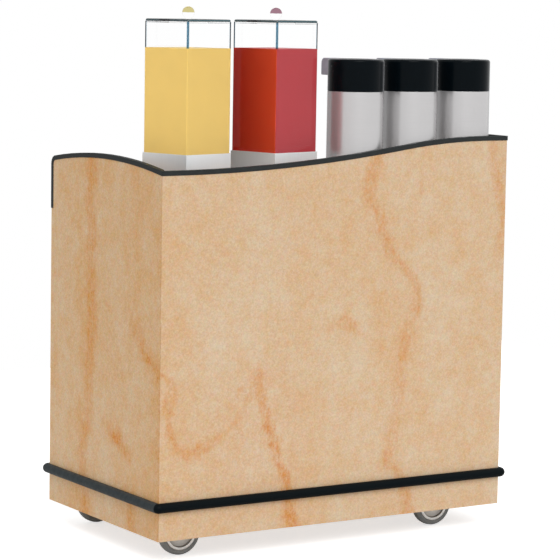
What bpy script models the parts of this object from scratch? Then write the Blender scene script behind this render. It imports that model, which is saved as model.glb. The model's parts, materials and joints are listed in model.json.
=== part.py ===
"""Beverage cart: a panelled body on four swivel casters, carrying juice dispensers and airpots.

Metres, +Z up. The floor is z = 0 and the origin is under the middle of the cart. +X runs along
the cart, the panelled front faces -Y, and the operator stands at the open side, +Y.
"""

import math

import bmesh
import bpy
from mathutils import Matrix, Vector

# Gaps
FIT = 0.0003  # between pieces that are fixed to each other
PLAY = 0.0006  # between pieces that move past each other

# Cart body
CART_LENGTH = 1.130  # over the end panels
CART_WIDTH = 0.648  # from the front panel's face to the rear edge
PANEL_THICKNESS = 0.0127
PANEL_BOTTOM = 0.065
LOW_TOP = 1.058  # top of the trim at the left front corner
HIGH_TOP = 1.1348  # top of the trim along the right end
SWEEP_START = 0.019  # where the front's top edge starts to rise, as a fraction of the length
SWEEP_TURN = 0.686  # where it turns from hollow to full
SWEEP_END = 0.938  # where it is level again
ARCH_RISE = 0.0257  # of the left end's top edge over its corners
REAR_CORNER_RADIUS = 0.025
TRIM_HEIGHT = 0.013
TRIM_WALL = 0.0012

# Deck, shelves, skirt and bumper
DECK_HEIGHT = 0.911
DECK_THICKNESS = 0.020  # of the sheet and the board under it
DECK_SHEET = 0.0015
DECK_LIP_DEPTH = 0.045
DECK_NOSE_RADIUS = 0.006
SHELF_THICKNESS = 0.018
MID_SHELF_HEIGHT = 0.540
MID_SHELF_SETBACK = 0.040
SKIRT_BOTTOM = 0.138
SKIRT_TOP = 0.245
BUMPER_HEIGHT = 0.1578
BUMPER_RADIUS = 0.0135
BUMPER_STANDOFF = 0.005  # of the bumper's round centre from the panel's face

# Casters
WHEEL_RADIUS = 0.062
TYRE_INNER_RADIUS = 0.048
TYRE_WIDTH = 0.030
WHEEL_EASE = 0.001  # slope on the wheel's edges
HUB_WIDTH = 0.037
HUB_RIM_THICKNESS = 0.0075
HUB_RIM_INSET = 0.0015  # of the rim's edge from the tyre's side
HUB_BORE_RADIUS = 0.0046
AXLE_RADIUS = 0.004
AXLE_HEAD_RADIUS = 0.0075
AXLE_HEAD_LENGTH = 0.005
CASTER_TRAIL = 0.0225  # of the axle behind the swivel axis
CASTER_HEIGHT = 0.157  # from the floor to the top of the plate
CASTER_PLATE_LENGTH = 0.092
CASTER_PLATE_WIDTH = 0.066
CASTER_PLATE_THICKNESS = 0.004
BOLT_HEAD_RADIUS = 0.0065
BOLT_HEAD_HEIGHT = 0.004
RACE_RADIUS = 0.024
RACE_DEPTH = 0.0115  # of the bearing race below the top of the plate
KINGPIN_RADIUS = 0.006
RIVET_RADIUS = 0.010
FORK_THICKNESS = 0.0035
FORK_CROWN_HALF = 0.027
FORK_EYE_RADIUS = 0.013
CASTER_END_INSET = 0.1425  # of the swivel axis from the end panel's face
REAR_CASTER_INSET = 0.068  # of the swivel axis from the rear edge
SWIVEL_CLEARANCE = 0.0025

# Juice dispensers
DISPENSER_WIDTH = 0.1696
DISPENSER_DEPTH = 0.1696
DISPENSER_TURN = 15.0  # degrees, anticlockwise from above
DISPENSER_BASE_HEIGHT = 0.1842
DISPENSER_BASE_WALL = 0.002
DISPENSER_TRAY_DEPTH = 0.004
DISPENSER_END_SHARE = 0.2561  # of the free length, between the left end panel and the first dispenser
DISPENSER_GAP_SHARE = 0.4390  # of the free length, between the two dispensers
DISPENSER_FRONT_GAP = 0.031
TANK_TOP = 0.538  # above the deck
TANK_WALL = 0.003
LID_THICKNESS = 0.006
LID_STEP = 0.004
JUICE_LEVEL = 0.467  # above the deck
KNOB_RADIUS = 0.0167
KNOB_FOOT_RADIUS = 0.008
KNOB_NECK = 0.002
FAUCET_RISE = 0.032  # of the faucet's axis above the tank's floor
FAUCET_SHANK_RADIUS = 0.008
FAUCET_FLANGE_RADIUS = 0.016
FAUCET_FLANGE_THICKNESS = 0.004
FAUCET_BARREL_RADIUS = 0.011
FAUCET_REACH = 0.036  # of the spout's axis from the tank
FAUCET_SPOUT_RADIUS = 0.010
FAUCET_BORE_RADIUS = 0.006
FAUCET_SPOUT_DROP = 0.042
FAUCET_BOSS_RISE = 0.016
LEVER_PIVOT_RISE = 0.023
LEVER_HALF_WIDTH = 0.0058
LEVER_EYE_RADIUS = 0.006
LEVER_LENGTH = 0.056
LEVER_PIN_RADIUS = 0.002
EAR_THICKNESS = 0.003

# Airpots
AIRPOT_COUNT = 3
AIRPOT_HEIGHT = 0.4395
AIRPOT_SPACING = 0.1835
AIRPOT_CLEARANCE = 0.0006  # from the trim, which an airpot passes as it is lifted out
AIRPOT_TOP_RADIUS = 0.0788
AIRPOT_FOOT_RADIUS = 0.0801
AIRPOT_EASE = 0.002  # slope on the edges of the foot and the button
AIRPOT_FOOT_HEIGHT = 0.020
AIRPOT_FOOT_FLOOR = 0.004
AIRPOT_FOOT_WALL = 0.0045
AIRPOT_WALL = 0.0035
AIRPOT_MOUTH_RADIUS = 0.056
AIRPOT_NECK_HEIGHT = 0.012
HEAD_HEIGHT = 0.0895
HEAD_FILLET = 0.008
HEAD_PLUG_DEPTH = 0.020
HEAD_WALL = 0.004
BUTTON_RADIUS = 0.049
BUTTON_HEIGHT = 0.014
BUTTON_STROKE = 0.028
SPOUT_REACH = 0.149  # from the airpot's axis
SPOUT_WIDTH = 0.040
SPOUT_DEPTH = 0.048
SPOUT_ROUND = 0.008
SPOUT_BORE_RADIUS = 0.006

# Facets
ARC_STEPS = 6
TURN_STEPS = 32

HALF_LENGTH = CART_LENGTH / 2
HALF_WIDTH = CART_WIDTH / 2
INNER_X = HALF_LENGTH - PANEL_THICKNESS
INNER_FRONT_Y = -HALF_WIDTH + PANEL_THICKNESS
CHANNEL_SIDE = FIT + TRIM_WALL  # how far the trim stands out from a panel's face
MITRE_GAP = FIT / math.sqrt(2)
REAR_EDGE = HALF_WIDTH - CHANNEL_SIDE
TANK_WIDTH = DISPENSER_WIDTH - 2 * (DISPENSER_BASE_WALL + FIT)
TANK_DEPTH = DISPENSER_DEPTH - 2 * (DISPENSER_BASE_WALL + FIT)
TANK_BOTTOM = DISPENSER_BASE_HEIGHT - DISPENSER_TRAY_DEPTH + FIT
TANK_FLOOR = TANK_BOTTOM + TANK_WALL
HEAD_BOTTOM = AIRPOT_HEIGHT - HEAD_HEIGHT
AIRPOT_INSET = CHANNEL_SIDE + AIRPOT_CLEARANCE + AIRPOT_FOOT_RADIUS  # of an airpot's axis from a panel
FIRST_AIRPOT_X = INNER_X - AIRPOT_INSET - (AIRPOT_COUNT - 1) * AIRPOT_SPACING
TURN_COS, TURN_SIN = math.cos(math.radians(DISPENSER_TURN)), math.sin(math.radians(DISPENSER_TURN))
DISPENSER_SPAN_X = DISPENSER_WIDTH * TURN_COS + DISPENSER_DEPTH * TURN_SIN
DISPENSER_SPAN_Y = DISPENSER_WIDTH * TURN_SIN + DISPENSER_DEPTH * TURN_COS
DISPENSER_Y = INNER_FRONT_Y + DISPENSER_FRONT_GAP + DISPENSER_SPAN_Y / 2


def clear_scene():
    for old in list(bpy.data.objects):
        bpy.data.objects.remove(old)


def finish(name, colour, roughness, metallic=0.0, alpha=1.0, transmission=0.0):
    material = bpy.data.materials.new(name)
    material.use_nodes = True
    shader = material.node_tree.nodes["Principled BSDF"]
    shader.inputs["Base Color"].default_value = (*colour, 1.0)
    shader.inputs["Roughness"].default_value = roughness
    shader.inputs["Metallic"].default_value = metallic
    shader.inputs["Alpha"].default_value = alpha
    shader.inputs["Transmission Weight"].default_value = transmission
    material.diffuse_color = (*colour, alpha)
    return material


def loft(rings, closed=False):
    """A mesh through rings of points, with a cap on each end unless the last ring meets the first."""
    shape = bmesh.new()
    rows = [[shape.verts.new(point) for point in ring] for ring in rings]
    pairs = list(zip(rows, rows[1:]))
    if closed:
        pairs.append((rows[-1], rows[0]))
    for near, far in pairs:
        for i in range(len(near)):
            j = (i + 1) % len(near)
            shape.faces.new((near[i], near[j], far[j], far[i]))
    if not closed:
        shape.faces.new(rows[0])
        shape.faces.new(rows[-1])
    return to_mesh(shape)


def to_mesh(shape, smooth=False):
    bmesh.ops.recalc_face_normals(shape, faces=shape.faces)
    mesh = bpy.data.meshes.new("shape")
    shape.to_mesh(mesh)
    shape.free()
    if smooth:
        smoothed(mesh)
    return mesh


def smoothed(mesh):
    mesh.shade_smooth()
    mesh.set_sharp_from_angle(angle=math.radians(35))
    return mesh


def prism(outline, axis, low, high):
    """An outline in the plane across an axis, in X, Y, Z order, drawn out from low to high."""
    def ring(level):
        return [Vector(point[:axis] + (level,) + point[axis:]) for point in outline]
    return loft([ring(low), ring(high)])


def box(low, high):
    corners = [(low[0], low[1]), (high[0], low[1]), (high[0], high[1]), (low[0], high[1])]
    return prism(corners, 2, low[2], high[2])


def turned(profile, steps=TURN_STEPS):
    """A closed profile of (radius, height) points turned about Z. Points at radius 0 lie on the axis."""
    shape = bmesh.new()
    columns = []
    for radius, height in profile:
        if radius == 0:
            columns.append([shape.verts.new((0, 0, height))] * steps)
            continue
        angles = [2 * math.pi * i / steps for i in range(steps)]
        columns.append([
            shape.verts.new((radius * math.cos(a), radius * math.sin(a), height)) for a in angles
        ])
    for near, far in zip(columns, columns[1:] + columns[:1]):
        for i in range(steps):
            j = (i + 1) % steps
            corners = list(dict.fromkeys((near[i], near[j], far[j], far[i])))
            if len(corners) > 2:
                shape.faces.new(corners)
    return to_mesh(shape, smooth=True)


def arc(centre, radius, start, end, steps=ARC_STEPS):
    """Points on an arc between two angles in degrees."""
    points = []
    for i in range(steps + 1):
        angle = math.radians(start + (end - start) * i / steps)
        points.append((centre[0] + radius * math.cos(angle), centre[1] + radius * math.sin(angle)))
    return points


def rod(radius, low, high, axis, centre=(0, 0, 0), steps=16):
    """A round bar along an axis (0, 1 or 2), between two distances from its centre point."""
    mesh = turned([(0, low), (radius, low), (radius, high), (0, high)], steps)
    turn = {0: Matrix.Rotation(math.pi / 2, 4, "Y"), 1: Matrix.Rotation(-math.pi / 2, 4, "X")}
    mesh.transform(Matrix.Translation(centre) @ turn.get(axis, Matrix()))
    return mesh


def worked(base, steps):
    """A mesh after Boolean steps, each an operation and the mesh it uses."""
    body = bpy.data.objects.new("body", base)
    bpy.context.scene.collection.objects.link(body)
    tools = []
    for operation, mesh in steps:
        tool = bpy.data.objects.new("tool", mesh)
        bpy.context.scene.collection.objects.link(tool)
        tools.append(tool)
        cut = body.modifiers.new(operation, "BOOLEAN")
        cut.operation = operation
        cut.solver = "EXACT"
        cut.object = tool
    bpy.context.view_layer.update()
    graph = bpy.context.evaluated_depsgraph_get()
    result = bpy.data.meshes.new_from_object(body.evaluated_get(graph))
    for helper in [body] + tools:
        bpy.data.objects.remove(helper)
    return result


def empty(name, location):
    holder = bpy.data.objects.new(name, None)
    holder.location = location
    bpy.context.scene.collection.objects.link(holder)
    return holder


def place(name, mesh, material, parent, location=(0, 0, 0), rotation=(0, 0, 0)):
    piece = bpy.data.objects.new(name, mesh.copy())
    piece.data.name = name
    piece.data.materials.clear()
    piece.data.materials.append(material)
    piece.parent = parent
    piece.location = location
    piece.rotation_euler = rotation
    bpy.context.scene.collection.objects.link(piece)
    return piece


# The cart's top edge

def front_top(x):
    """Height of the front trim's top at x: level, then a hollow and a full curve, then level."""
    start, turn, end = (CART_LENGTH * at - HALF_LENGTH for at in (SWEEP_START, SWEEP_TURN, SWEEP_END))
    slope = 2 * (HIGH_TOP - LOW_TOP) / (end - start)
    if x <= start:
        return LOW_TOP
    if x <= turn:
        return LOW_TOP + slope * (x - start) ** 2 / (2 * (turn - start))
    if x <= end:
        return HIGH_TOP - slope * (end - x) ** 2 / (2 * (end - turn))
    return HIGH_TOP


def front_stations(steps=26):
    return [-HALF_LENGTH + CART_LENGTH * i / steps for i in range(steps + 1)]


def end_top(y, front_height, rise):
    """Height of an end trim's top at y: an arch over the corners, or level where it has no rise."""
    return front_height + rise * (1 - (y / HALF_WIDTH) ** 2)


def end_edge(front_height, rise, steps=12):
    """The top edge of an end panel and its trim, front to rear: (y, z, outward y, outward z)."""
    shoulder = HALF_WIDTH - REAR_CORNER_RADIUS
    edge = []
    for i in range(steps + 1):
        y = -HALF_WIDTH + (shoulder + HALF_WIDTH) * i / steps
        slope = -2 * rise * y / HALF_WIDTH ** 2
        length = math.hypot(1, slope)
        edge.append((y, end_top(y, front_height, rise), -slope / length, 1 / length))
    last_y, last_z, out_y, out_z = edge[-1]
    start = math.degrees(math.atan2(out_z, out_y))
    centre = (last_y - REAR_CORNER_RADIUS * out_y, last_z - REAR_CORNER_RADIUS * out_z)
    for y, z in arc(centre, REAR_CORNER_RADIUS, start, 0)[1:]:
        edge.append((y, z, (y - centre[0]) / REAR_CORNER_RADIUS, (z - centre[1]) / REAR_CORNER_RADIUS))
    edge.append((edge[-1][0], DECK_HEIGHT + FIT, 1, 0))
    return edge


def channel():
    """The trim's section: (depth from the panel's outer face, drop from the top edge)."""
    near, far = -CHANNEL_SIDE, PANEL_THICKNESS + CHANNEL_SIDE
    slot_near, slot_far = -FIT, PANEL_THICKNESS + FIT
    return [
        (near, 0), (far, 0), (far, TRIM_HEIGHT), (slot_far, TRIM_HEIGHT),
        (slot_far, TRIM_WALL), (slot_near, TRIM_WALL), (slot_near, TRIM_HEIGHT), (near, TRIM_HEIGHT),
    ]


def mitred(x, depth):
    """x of a front piece's point, cut back by its depth at both ends."""
    reach = HALF_LENGTH - depth - MITRE_GAP
    return max(-reach, min(reach, x))


def front_trim():
    rings = []
    stations = front_stations()
    for i, x in enumerate(stations):
        at_end = i in (0, len(stations) - 1)
        ring = []
        for depth, drop in channel():
            point_x = math.copysign(HALF_LENGTH - depth - MITRE_GAP, x) if at_end else x
            ring.append((point_x, -HALF_WIDTH + depth, front_top(x) - drop))
        rings.append(ring)
    return smoothed(loft(rings))


def end_trim(side, front_height, rise):
    mitre = []
    for depth, drop in channel():
        y = -HALF_WIDTH + depth + MITRE_GAP
        mitre.append((side * (HALF_LENGTH - depth), y, end_top(y, front_height, rise) - drop))
    rings = [mitre]
    for y, z, out_y, out_z in end_edge(front_height, rise)[1:]:
        rings.append([
            (side * (HALF_LENGTH - depth), y - out_y * drop, z - out_z * drop) for depth, drop in channel()
        ])
    return smoothed(loft(rings))


def front_panel():
    stations = front_stations()
    rings = []
    for depth in (0, PANEL_THICKNESS):
        y = -HALF_WIDTH + depth
        top = [(mitred(x, depth), y, front_top(x) - CHANNEL_SIDE) for x in stations]
        bottom = [(top[-1][0], y, PANEL_BOTTOM), (top[0][0], y, PANEL_BOTTOM)]
        rings.append(top + bottom)
    return loft(rings)


def end_panel(side, front_height, rise):
    edge = end_edge(front_height, rise)[1:]
    rings = []
    for depth in (0, PANEL_THICKNESS):
        x = side * (HALF_LENGTH - depth)
        front = -HALF_WIDTH + depth + MITRE_GAP
        corner = end_top(front, front_height, rise) - CHANNEL_SIDE
        ring = [(x, front, PANEL_BOTTOM), (x, front, corner)]
        ring += [(x, y - out_y * CHANNEL_SIDE, z - out_z * CHANNEL_SIDE) for y, z, out_y, out_z in edge]
        ring.append((x, REAR_EDGE, PANEL_BOTTOM))
        rings.append(ring)
    return loft(rings)


# Inside the cart

def deck_sheet():
    """A sheet metal worktop whose rear edge turns down into a lip."""
    front, top = INNER_FRONT_Y + FIT, DECK_HEIGHT
    bend = (REAR_EDGE - DECK_NOSE_RADIUS, top - DECK_NOSE_RADIUS)
    lip = top - DECK_LIP_DEPTH
    outside = arc(bend, DECK_NOSE_RADIUS, 90, 0) + [(REAR_EDGE, lip)]
    inside = [(REAR_EDGE - DECK_SHEET, lip)] + arc(bend, DECK_NOSE_RADIUS - DECK_SHEET, 0, 90)
    outline = [(front, top - DECK_SHEET), (front, top)] + outside + inside
    return smoothed(prism(outline, 0, -INNER_X + FIT, INNER_X - FIT))


def deck_board():
    """The board under the sheet, stopping short of the sheet's bend."""
    rear = REAR_EDGE - DECK_NOSE_RADIUS
    return box(
        (-INNER_X + FIT, INNER_FRONT_Y + FIT, DECK_HEIGHT - DECK_THICKNESS),
        (INNER_X - FIT, rear, DECK_HEIGHT - DECK_SHEET - FIT),
    )


def shelf(top, rear):
    return box((-INNER_X + FIT, INNER_FRONT_Y + FIT, top - SHELF_THICKNESS), (INNER_X - FIT, rear, top))


def base_shelf_top():
    return CASTER_HEIGHT + FIT + SHELF_THICKNESS


def rear_skirt():
    return box(
        (-INNER_X + FIT, HALF_WIDTH - PANEL_THICKNESS, SKIRT_BOTTOM), (INNER_X - FIT, HALF_WIDTH, SKIRT_TOP)
    )


def bumper():
    """A D section carried round the cart, turning about each of the body's corners."""
    flat = math.degrees(math.acos((FIT - BUMPER_STANDOFF) / BUMPER_RADIUS))
    section = arc((BUMPER_STANDOFF, BUMPER_HEIGHT), BUMPER_RADIUS, -flat, flat, 10)
    rings = []
    for corner, (side_x, side_y) in enumerate(((1, -1), (1, 1), (-1, 1), (-1, -1))):
        for out_x, out_y in arc((0, 0), 1, 90 * corner - 90, 90 * corner):
            x, y = side_x * HALF_LENGTH, side_y * HALF_WIDTH
            rings.append([(x + out_x * out, y + out_y * out, z) for out, z in section])
    return smoothed(loft(rings, closed=True))


# Casters

def crown_top():
    return CASTER_HEIGHT - RACE_DEPTH - PLAY


def caster_plate():
    """Top plate with bolt heads, bearing race and riveted kingpin. The origin is the middle of its top."""
    half_length, half_width = CASTER_PLATE_LENGTH / 2, CASTER_PLATE_WIDTH / 2
    plate = box((-half_length, -half_width, -CASTER_PLATE_THICKNESS), (half_length, half_width, 0))
    rivet_top = crown_top() - FORK_THICKNESS - PLAY - CASTER_HEIGHT
    inside_plate = -CASTER_PLATE_THICKNESS / 2
    pin = turned([
        (0, inside_plate), (RACE_RADIUS, inside_plate), (RACE_RADIUS, -RACE_DEPTH),
        (KINGPIN_RADIUS, -RACE_DEPTH), (KINGPIN_RADIUS, rivet_top), (RIVET_RADIUS, rivet_top),
        (RIVET_RADIUS, rivet_top - 2 * FORK_THICKNESS / 3), (0, rivet_top - FORK_THICKNESS),
    ], 20)
    steps = [("UNION", pin)]
    margin = 1.5 * BOLT_HEAD_RADIUS
    for side_x in (-1, 1):
        for side_y in (-1, 1):
            spot = (side_x * (half_length - margin), side_y * (half_width - margin), 0)
            low = -CASTER_PLATE_THICKNESS - BOLT_HEAD_HEIGHT
            steps.append(("UNION", rod(BOLT_HEAD_RADIUS, low, inside_plate, 2, spot, 6)))
    return worked(plate, steps)


def caster_fork():
    """Two legs and a crown, with holes for the kingpin and the axle. The origin is on the swivel axis."""
    top = crown_top()
    inside = HUB_WIDTH / 2 + PLAY
    outside = inside + FORK_THICKNESS
    bottom = WHEEL_RADIUS - 2 * FORK_EYE_RADIUS
    arch = [
        (-outside, top), (-outside, bottom), (-inside, bottom), (-inside, top - FORK_THICKNESS),
        (inside, top - FORK_THICKNESS), (inside, bottom), (outside, bottom), (outside, top),
    ]
    shoulder = top - 3 * FORK_THICKNESS
    side = [(FORK_CROWN_HALF, top), (FORK_CROWN_HALF, shoulder)]
    side += arc((-CASTER_TRAIL, WHEEL_RADIUS), FORK_EYE_RADIUS, 0, -180, 8)
    side += [(-FORK_CROWN_HALF, shoulder), (-FORK_CROWN_HALF, top)]
    wide = 2 * FORK_CROWN_HALF + CASTER_TRAIL
    return worked(prism(arch, 0, -wide, wide), [
        ("INTERSECT", prism(side, 1, -wide, wide)),
        ("DIFFERENCE", rod(KINGPIN_RADIUS + PLAY, top - 2 * FORK_THICKNESS, top + FORK_THICKNESS, 2)),
        ("DIFFERENCE", rod(AXLE_RADIUS + FIT, -wide, wide, 1, (-CASTER_TRAIL, 0, WHEEL_RADIUS))),
    ])


def wheel_hub():
    """A rimmed wheel core with a recessed web, turned about Z."""
    rim = TYRE_INNER_RADIUS - FIT
    rim_inside = rim - HUB_RIM_THICKNESS
    rim_half = TYRE_WIDTH / 2 - HUB_RIM_INSET
    boss = 3 * HUB_BORE_RADIUS
    web_half = TYRE_WIDTH / 5
    half = [
        (rim, rim_half), (rim_inside, rim_half), (rim_inside - WHEEL_EASE, web_half),
        (boss + 2 * WHEEL_EASE, web_half), (boss, HUB_WIDTH / 2), (HUB_BORE_RADIUS, HUB_WIDTH / 2),
    ]
    return turned(half + [(radius, -height) for radius, height in reversed(half)], 24)


def tyre():
    """A solid tyre with a rounded tread, turned about Z."""
    half_width = TYRE_WIDTH / 2
    depth = WHEEL_RADIUS - TYRE_INNER_RADIUS
    half = [
        (TYRE_INNER_RADIUS, half_width - WHEEL_EASE), (WHEEL_RADIUS - depth / 3, half_width),
        (WHEEL_RADIUS - depth / 10, 0.75 * half_width), (WHEEL_RADIUS, 0.4 * half_width),
    ]
    return turned(half + [(radius, -height) for radius, height in reversed(half)])


def axle():
    """A bolt through both fork legs, with a head on each end, turned about Z."""
    grip = HUB_WIDTH / 2 + PLAY + FORK_THICKNESS + FIT
    end = grip + AXLE_HEAD_LENGTH
    half = [(0, end), (AXLE_HEAD_RADIUS, end), (AXLE_HEAD_RADIUS, grip), (AXLE_RADIUS, grip)]
    return turned(half + [(radius, -height) for radius, height in reversed(half)], 12)


def caster_places():
    """Swivel axes, set so that a trailing wheel clears the front panel all the way round."""
    reach = math.hypot(CASTER_TRAIL + WHEEL_RADIUS, TYRE_WIDTH / 2)
    x = HALF_LENGTH - CASTER_END_INSET
    front = INNER_FRONT_Y + reach + SWIVEL_CLEARANCE
    rear = HALF_WIDTH - REAR_CASTER_INSET
    return {
        "front_left": (-x, front), "front_right": (x, front), "rear_left": (-x, rear), "rear_right": (x, rear),
    }


def build_casters(cart, steel, core, rubber):
    plate, fork, hub, ring, bolt = caster_plate(), caster_fork(), wheel_hub(), tyre(), axle()
    sideways = (math.pi / 2, 0, 0)
    for corner, (x, y) in caster_places().items():
        swivel = empty(corner + "_swivel", (x, y, 0))
        swivel.parent = cart
        wheel = (-CASTER_TRAIL, 0, WHEEL_RADIUS)
        place(corner + "_caster_plate", plate, steel, swivel, (0, 0, CASTER_HEIGHT))
        place(corner + "_caster_fork", fork, steel, swivel)
        place(corner + "_wheel_hub", hub, core, swivel, wheel, sideways)
        place(corner + "_tyre", ring, rubber, swivel, wheel, sideways)
        place(corner + "_axle", bolt, steel, swivel, wheel, sideways)


# Juice dispensers

def centred_box(width, depth, low, high):
    return box((-width / 2, -depth / 2, low), (width / 2, depth / 2, high))


def dispenser_base():
    """A steel stand, open below, with a shallow tray on top that the tank sits in."""
    inner_width = DISPENSER_WIDTH - 2 * DISPENSER_BASE_WALL
    inner_depth = DISPENSER_DEPTH - 2 * DISPENSER_BASE_WALL
    tray_floor = DISPENSER_BASE_HEIGHT - DISPENSER_TRAY_DEPTH
    under = tray_floor - DISPENSER_BASE_WALL
    return worked(centred_box(DISPENSER_WIDTH, DISPENSER_DEPTH, FIT, DISPENSER_BASE_HEIGHT), [
        ("DIFFERENCE", centred_box(inner_width, inner_depth, -FIT, under)),
        ("DIFFERENCE", centred_box(inner_width, inner_depth, tray_floor, DISPENSER_BASE_HEIGHT + FIT)),
    ])


def faucet_height():
    return TANK_FLOOR + FAUCET_RISE


def tank():
    """An open-topped clear box with a hole for the faucet's shank in its rear wall."""
    inner_width, inner_depth = TANK_WIDTH - 2 * TANK_WALL, TANK_DEPTH - 2 * TANK_WALL
    hole_at = (0, TANK_DEPTH / 2 - TANK_WALL / 2, faucet_height())
    hole = rod(FAUCET_SHANK_RADIUS + FIT, -TANK_WALL, TANK_WALL, 1, hole_at)
    return worked(centred_box(TANK_WIDTH, TANK_DEPTH, TANK_BOTTOM, TANK_TOP), [
        ("DIFFERENCE", centred_box(inner_width, inner_depth, TANK_FLOOR, TANK_TOP + TANK_WALL)),
        ("DIFFERENCE", hole),
    ])


def juice():
    inset = TANK_WALL + FIT
    return centred_box(TANK_WIDTH - 2 * inset, TANK_DEPTH - 2 * inset, TANK_FLOOR + FIT, JUICE_LEVEL)


def lid():
    """A flat lid with a step that drops inside the tank. The origin is the middle of the tank's rim."""
    inset = TANK_WALL + PLAY
    low = FIT
    plate = centred_box(TANK_WIDTH, TANK_DEPTH, low, low + LID_THICKNESS)
    step = centred_box(TANK_WIDTH - 2 * inset, TANK_DEPTH - 2 * inset, -LID_STEP, low + LID_THICKNESS / 2)
    return worked(plate, [("UNION", step)])


def knob():
    """A ball on a short neck. The origin is the middle of the neck's foot."""
    start = math.degrees(math.acos(KNOB_FOOT_RADIUS / KNOB_RADIUS))
    rise = KNOB_NECK + math.sqrt(KNOB_RADIUS ** 2 - KNOB_FOOT_RADIUS ** 2)
    ball = arc((0, rise), KNOB_RADIUS, -start, 90, 9)
    return turned([(0, 0), (KNOB_FOOT_RADIUS, 0)] + ball[:-1] + [(0, rise + KNOB_RADIUS)], 20)


def faucet():
    """Shank, flange, barrel, spout and two ears. The origin is the shank's axis at the tank's face."""
    shank = turned([
        (0, -TANK_WALL), (FAUCET_SHANK_RADIUS, -TANK_WALL), (FAUCET_SHANK_RADIUS, FIT),
        (FAUCET_FLANGE_RADIUS, FIT), (FAUCET_FLANGE_RADIUS, FAUCET_FLANGE_THICKNESS),
        (FAUCET_BARREL_RADIUS, 1.5 * FAUCET_FLANGE_THICKNESS), (FAUCET_BARREL_RADIUS, FAUCET_REACH),
        (0, FAUCET_REACH),
    ], 20)
    shank.transform(Matrix.Rotation(-math.pi / 2, 4, "X"))
    at_spout = (0, FAUCET_REACH, 0)
    at_pivot = (0, FAUCET_REACH, LEVER_PIVOT_RISE)
    ear_inside = LEVER_HALF_WIDTH + PLAY
    ear_half = LEVER_EYE_RADIUS
    steps = [("UNION", rod(FAUCET_SPOUT_RADIUS, -FAUCET_SPOUT_DROP, FAUCET_BOSS_RISE, 2, at_spout, 20))]
    for side in (-1, 1):
        across = sorted((side * ear_inside, side * (ear_inside + EAR_THICKNESS)))
        low = (across[0], FAUCET_REACH - ear_half, FAUCET_BOSS_RISE - EAR_THICKNESS)
        high = (across[1], FAUCET_REACH + ear_half, LEVER_PIVOT_RISE + ear_half)
        steps.append(("UNION", box(low, high)))
    bore = rod(FAUCET_BORE_RADIUS, -2 * FAUCET_SPOUT_DROP, -FAUCET_BARREL_RADIUS, 2, at_spout)
    pin_hole = rod(LEVER_PIN_RADIUS + FIT, -FAUCET_REACH, FAUCET_REACH, 0, at_pivot, 12)
    return worked(shank, steps + [("DIFFERENCE", bore), ("DIFFERENCE", pin_hole)])


def faucet_lever():
    """A tapered handle on a cross pin. The origin is on the pin's axis."""
    tip = LEVER_EYE_RADIUS / 2
    handle = arc((0, 0), LEVER_EYE_RADIUS, 180, 360, 8) + arc((tip, LEVER_LENGTH), tip, 0, 180, 4)
    pin_half = LEVER_HALF_WIDTH + PLAY + EAR_THICKNESS
    return worked(prism(handle, 0, -LEVER_HALF_WIDTH, LEVER_HALF_WIDTH), [
        ("UNION", rod(LEVER_PIN_RADIUS, -pin_half, pin_half, 0, steps=12)),
    ])


def build_dispensers(cart, steel, clear, black, chrome, juices):
    base, box_tank, cover, ball = dispenser_base(), tank(), lid(), smoothed(knob())
    tap, lever, drink = smoothed(faucet()), faucet_lever(), juice()
    free = FIRST_AIRPOT_X - AIRPOT_FOOT_RADIUS + INNER_X - 2 * DISPENSER_SPAN_X
    first_x = -INNER_X + DISPENSER_END_SHARE * free + DISPENSER_SPAN_X / 2
    pitch = DISPENSER_SPAN_X + DISPENSER_GAP_SHARE * free
    tap_at = (0, TANK_DEPTH / 2, faucet_height())
    pivot_at = (0, TANK_DEPTH / 2 + FAUCET_REACH, faucet_height() + LEVER_PIVOT_RISE)
    for i, side in enumerate(("left", "right")):
        stand = empty(side + "_dispenser", (first_x + i * pitch, DISPENSER_Y, DECK_HEIGHT))
        stand.rotation_euler.z = math.radians(DISPENSER_TURN)
        stand.parent = cart
        place(side + "_dispenser_base", base, steel, stand)
        place(side + "_tank", box_tank, clear, stand)
        place(side + "_juice", drink, juices[side], stand)
        place(side + "_lid", cover, clear, stand, (0, 0, TANK_TOP))
        place(side + "_lid_knob", ball, clear, stand, (0, 0, TANK_TOP + LID_THICKNESS + 2 * FIT))
        place(side + "_faucet", tap, chrome, stand, tap_at)
        place(side + "_faucet_lever", lever, black, stand, pivot_at)


# Airpots

def airpot_radius(height):
    """Radius of the slightly tapered body at a height above the deck."""
    return AIRPOT_FOOT_RADIUS + (AIRPOT_TOP_RADIUS - AIRPOT_FOOT_RADIUS) * height / HEAD_BOTTOM


def airpot_foot():
    """A shallow cup that the body stands in."""
    recess = AIRPOT_FOOT_RADIUS - AIRPOT_FOOT_WALL
    return turned([
        (0, FIT), (AIRPOT_FOOT_RADIUS - AIRPOT_EASE, FIT), (AIRPOT_FOOT_RADIUS, AIRPOT_EASE),
        (AIRPOT_FOOT_RADIUS, AIRPOT_FOOT_HEIGHT), (recess, AIRPOT_FOOT_HEIGHT),
        (recess, AIRPOT_FOOT_FLOOR), (0, AIRPOT_FOOT_FLOOR),
    ])


def airpot_vessel():
    """A hollow body with a narrower mouth."""
    low = AIRPOT_FOOT_FLOOR + FIT
    step = AIRPOT_FOOT_HEIGHT + FIT
    top = HEAD_BOTTOM - FIT
    stub = AIRPOT_FOOT_RADIUS - AIRPOT_FOOT_WALL - FIT
    inside = min(stub, AIRPOT_TOP_RADIUS) - AIRPOT_WALL
    return turned([
        (0, low), (stub, low), (stub, step), (airpot_radius(step), step), (airpot_radius(top), top),
        (AIRPOT_MOUTH_RADIUS, top), (AIRPOT_MOUTH_RADIUS, top - AIRPOT_WALL),
        (inside, top - AIRPOT_NECK_HEIGHT), (inside, low + AIRPOT_WALL), (0, low + AIRPOT_WALL),
    ])


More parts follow.
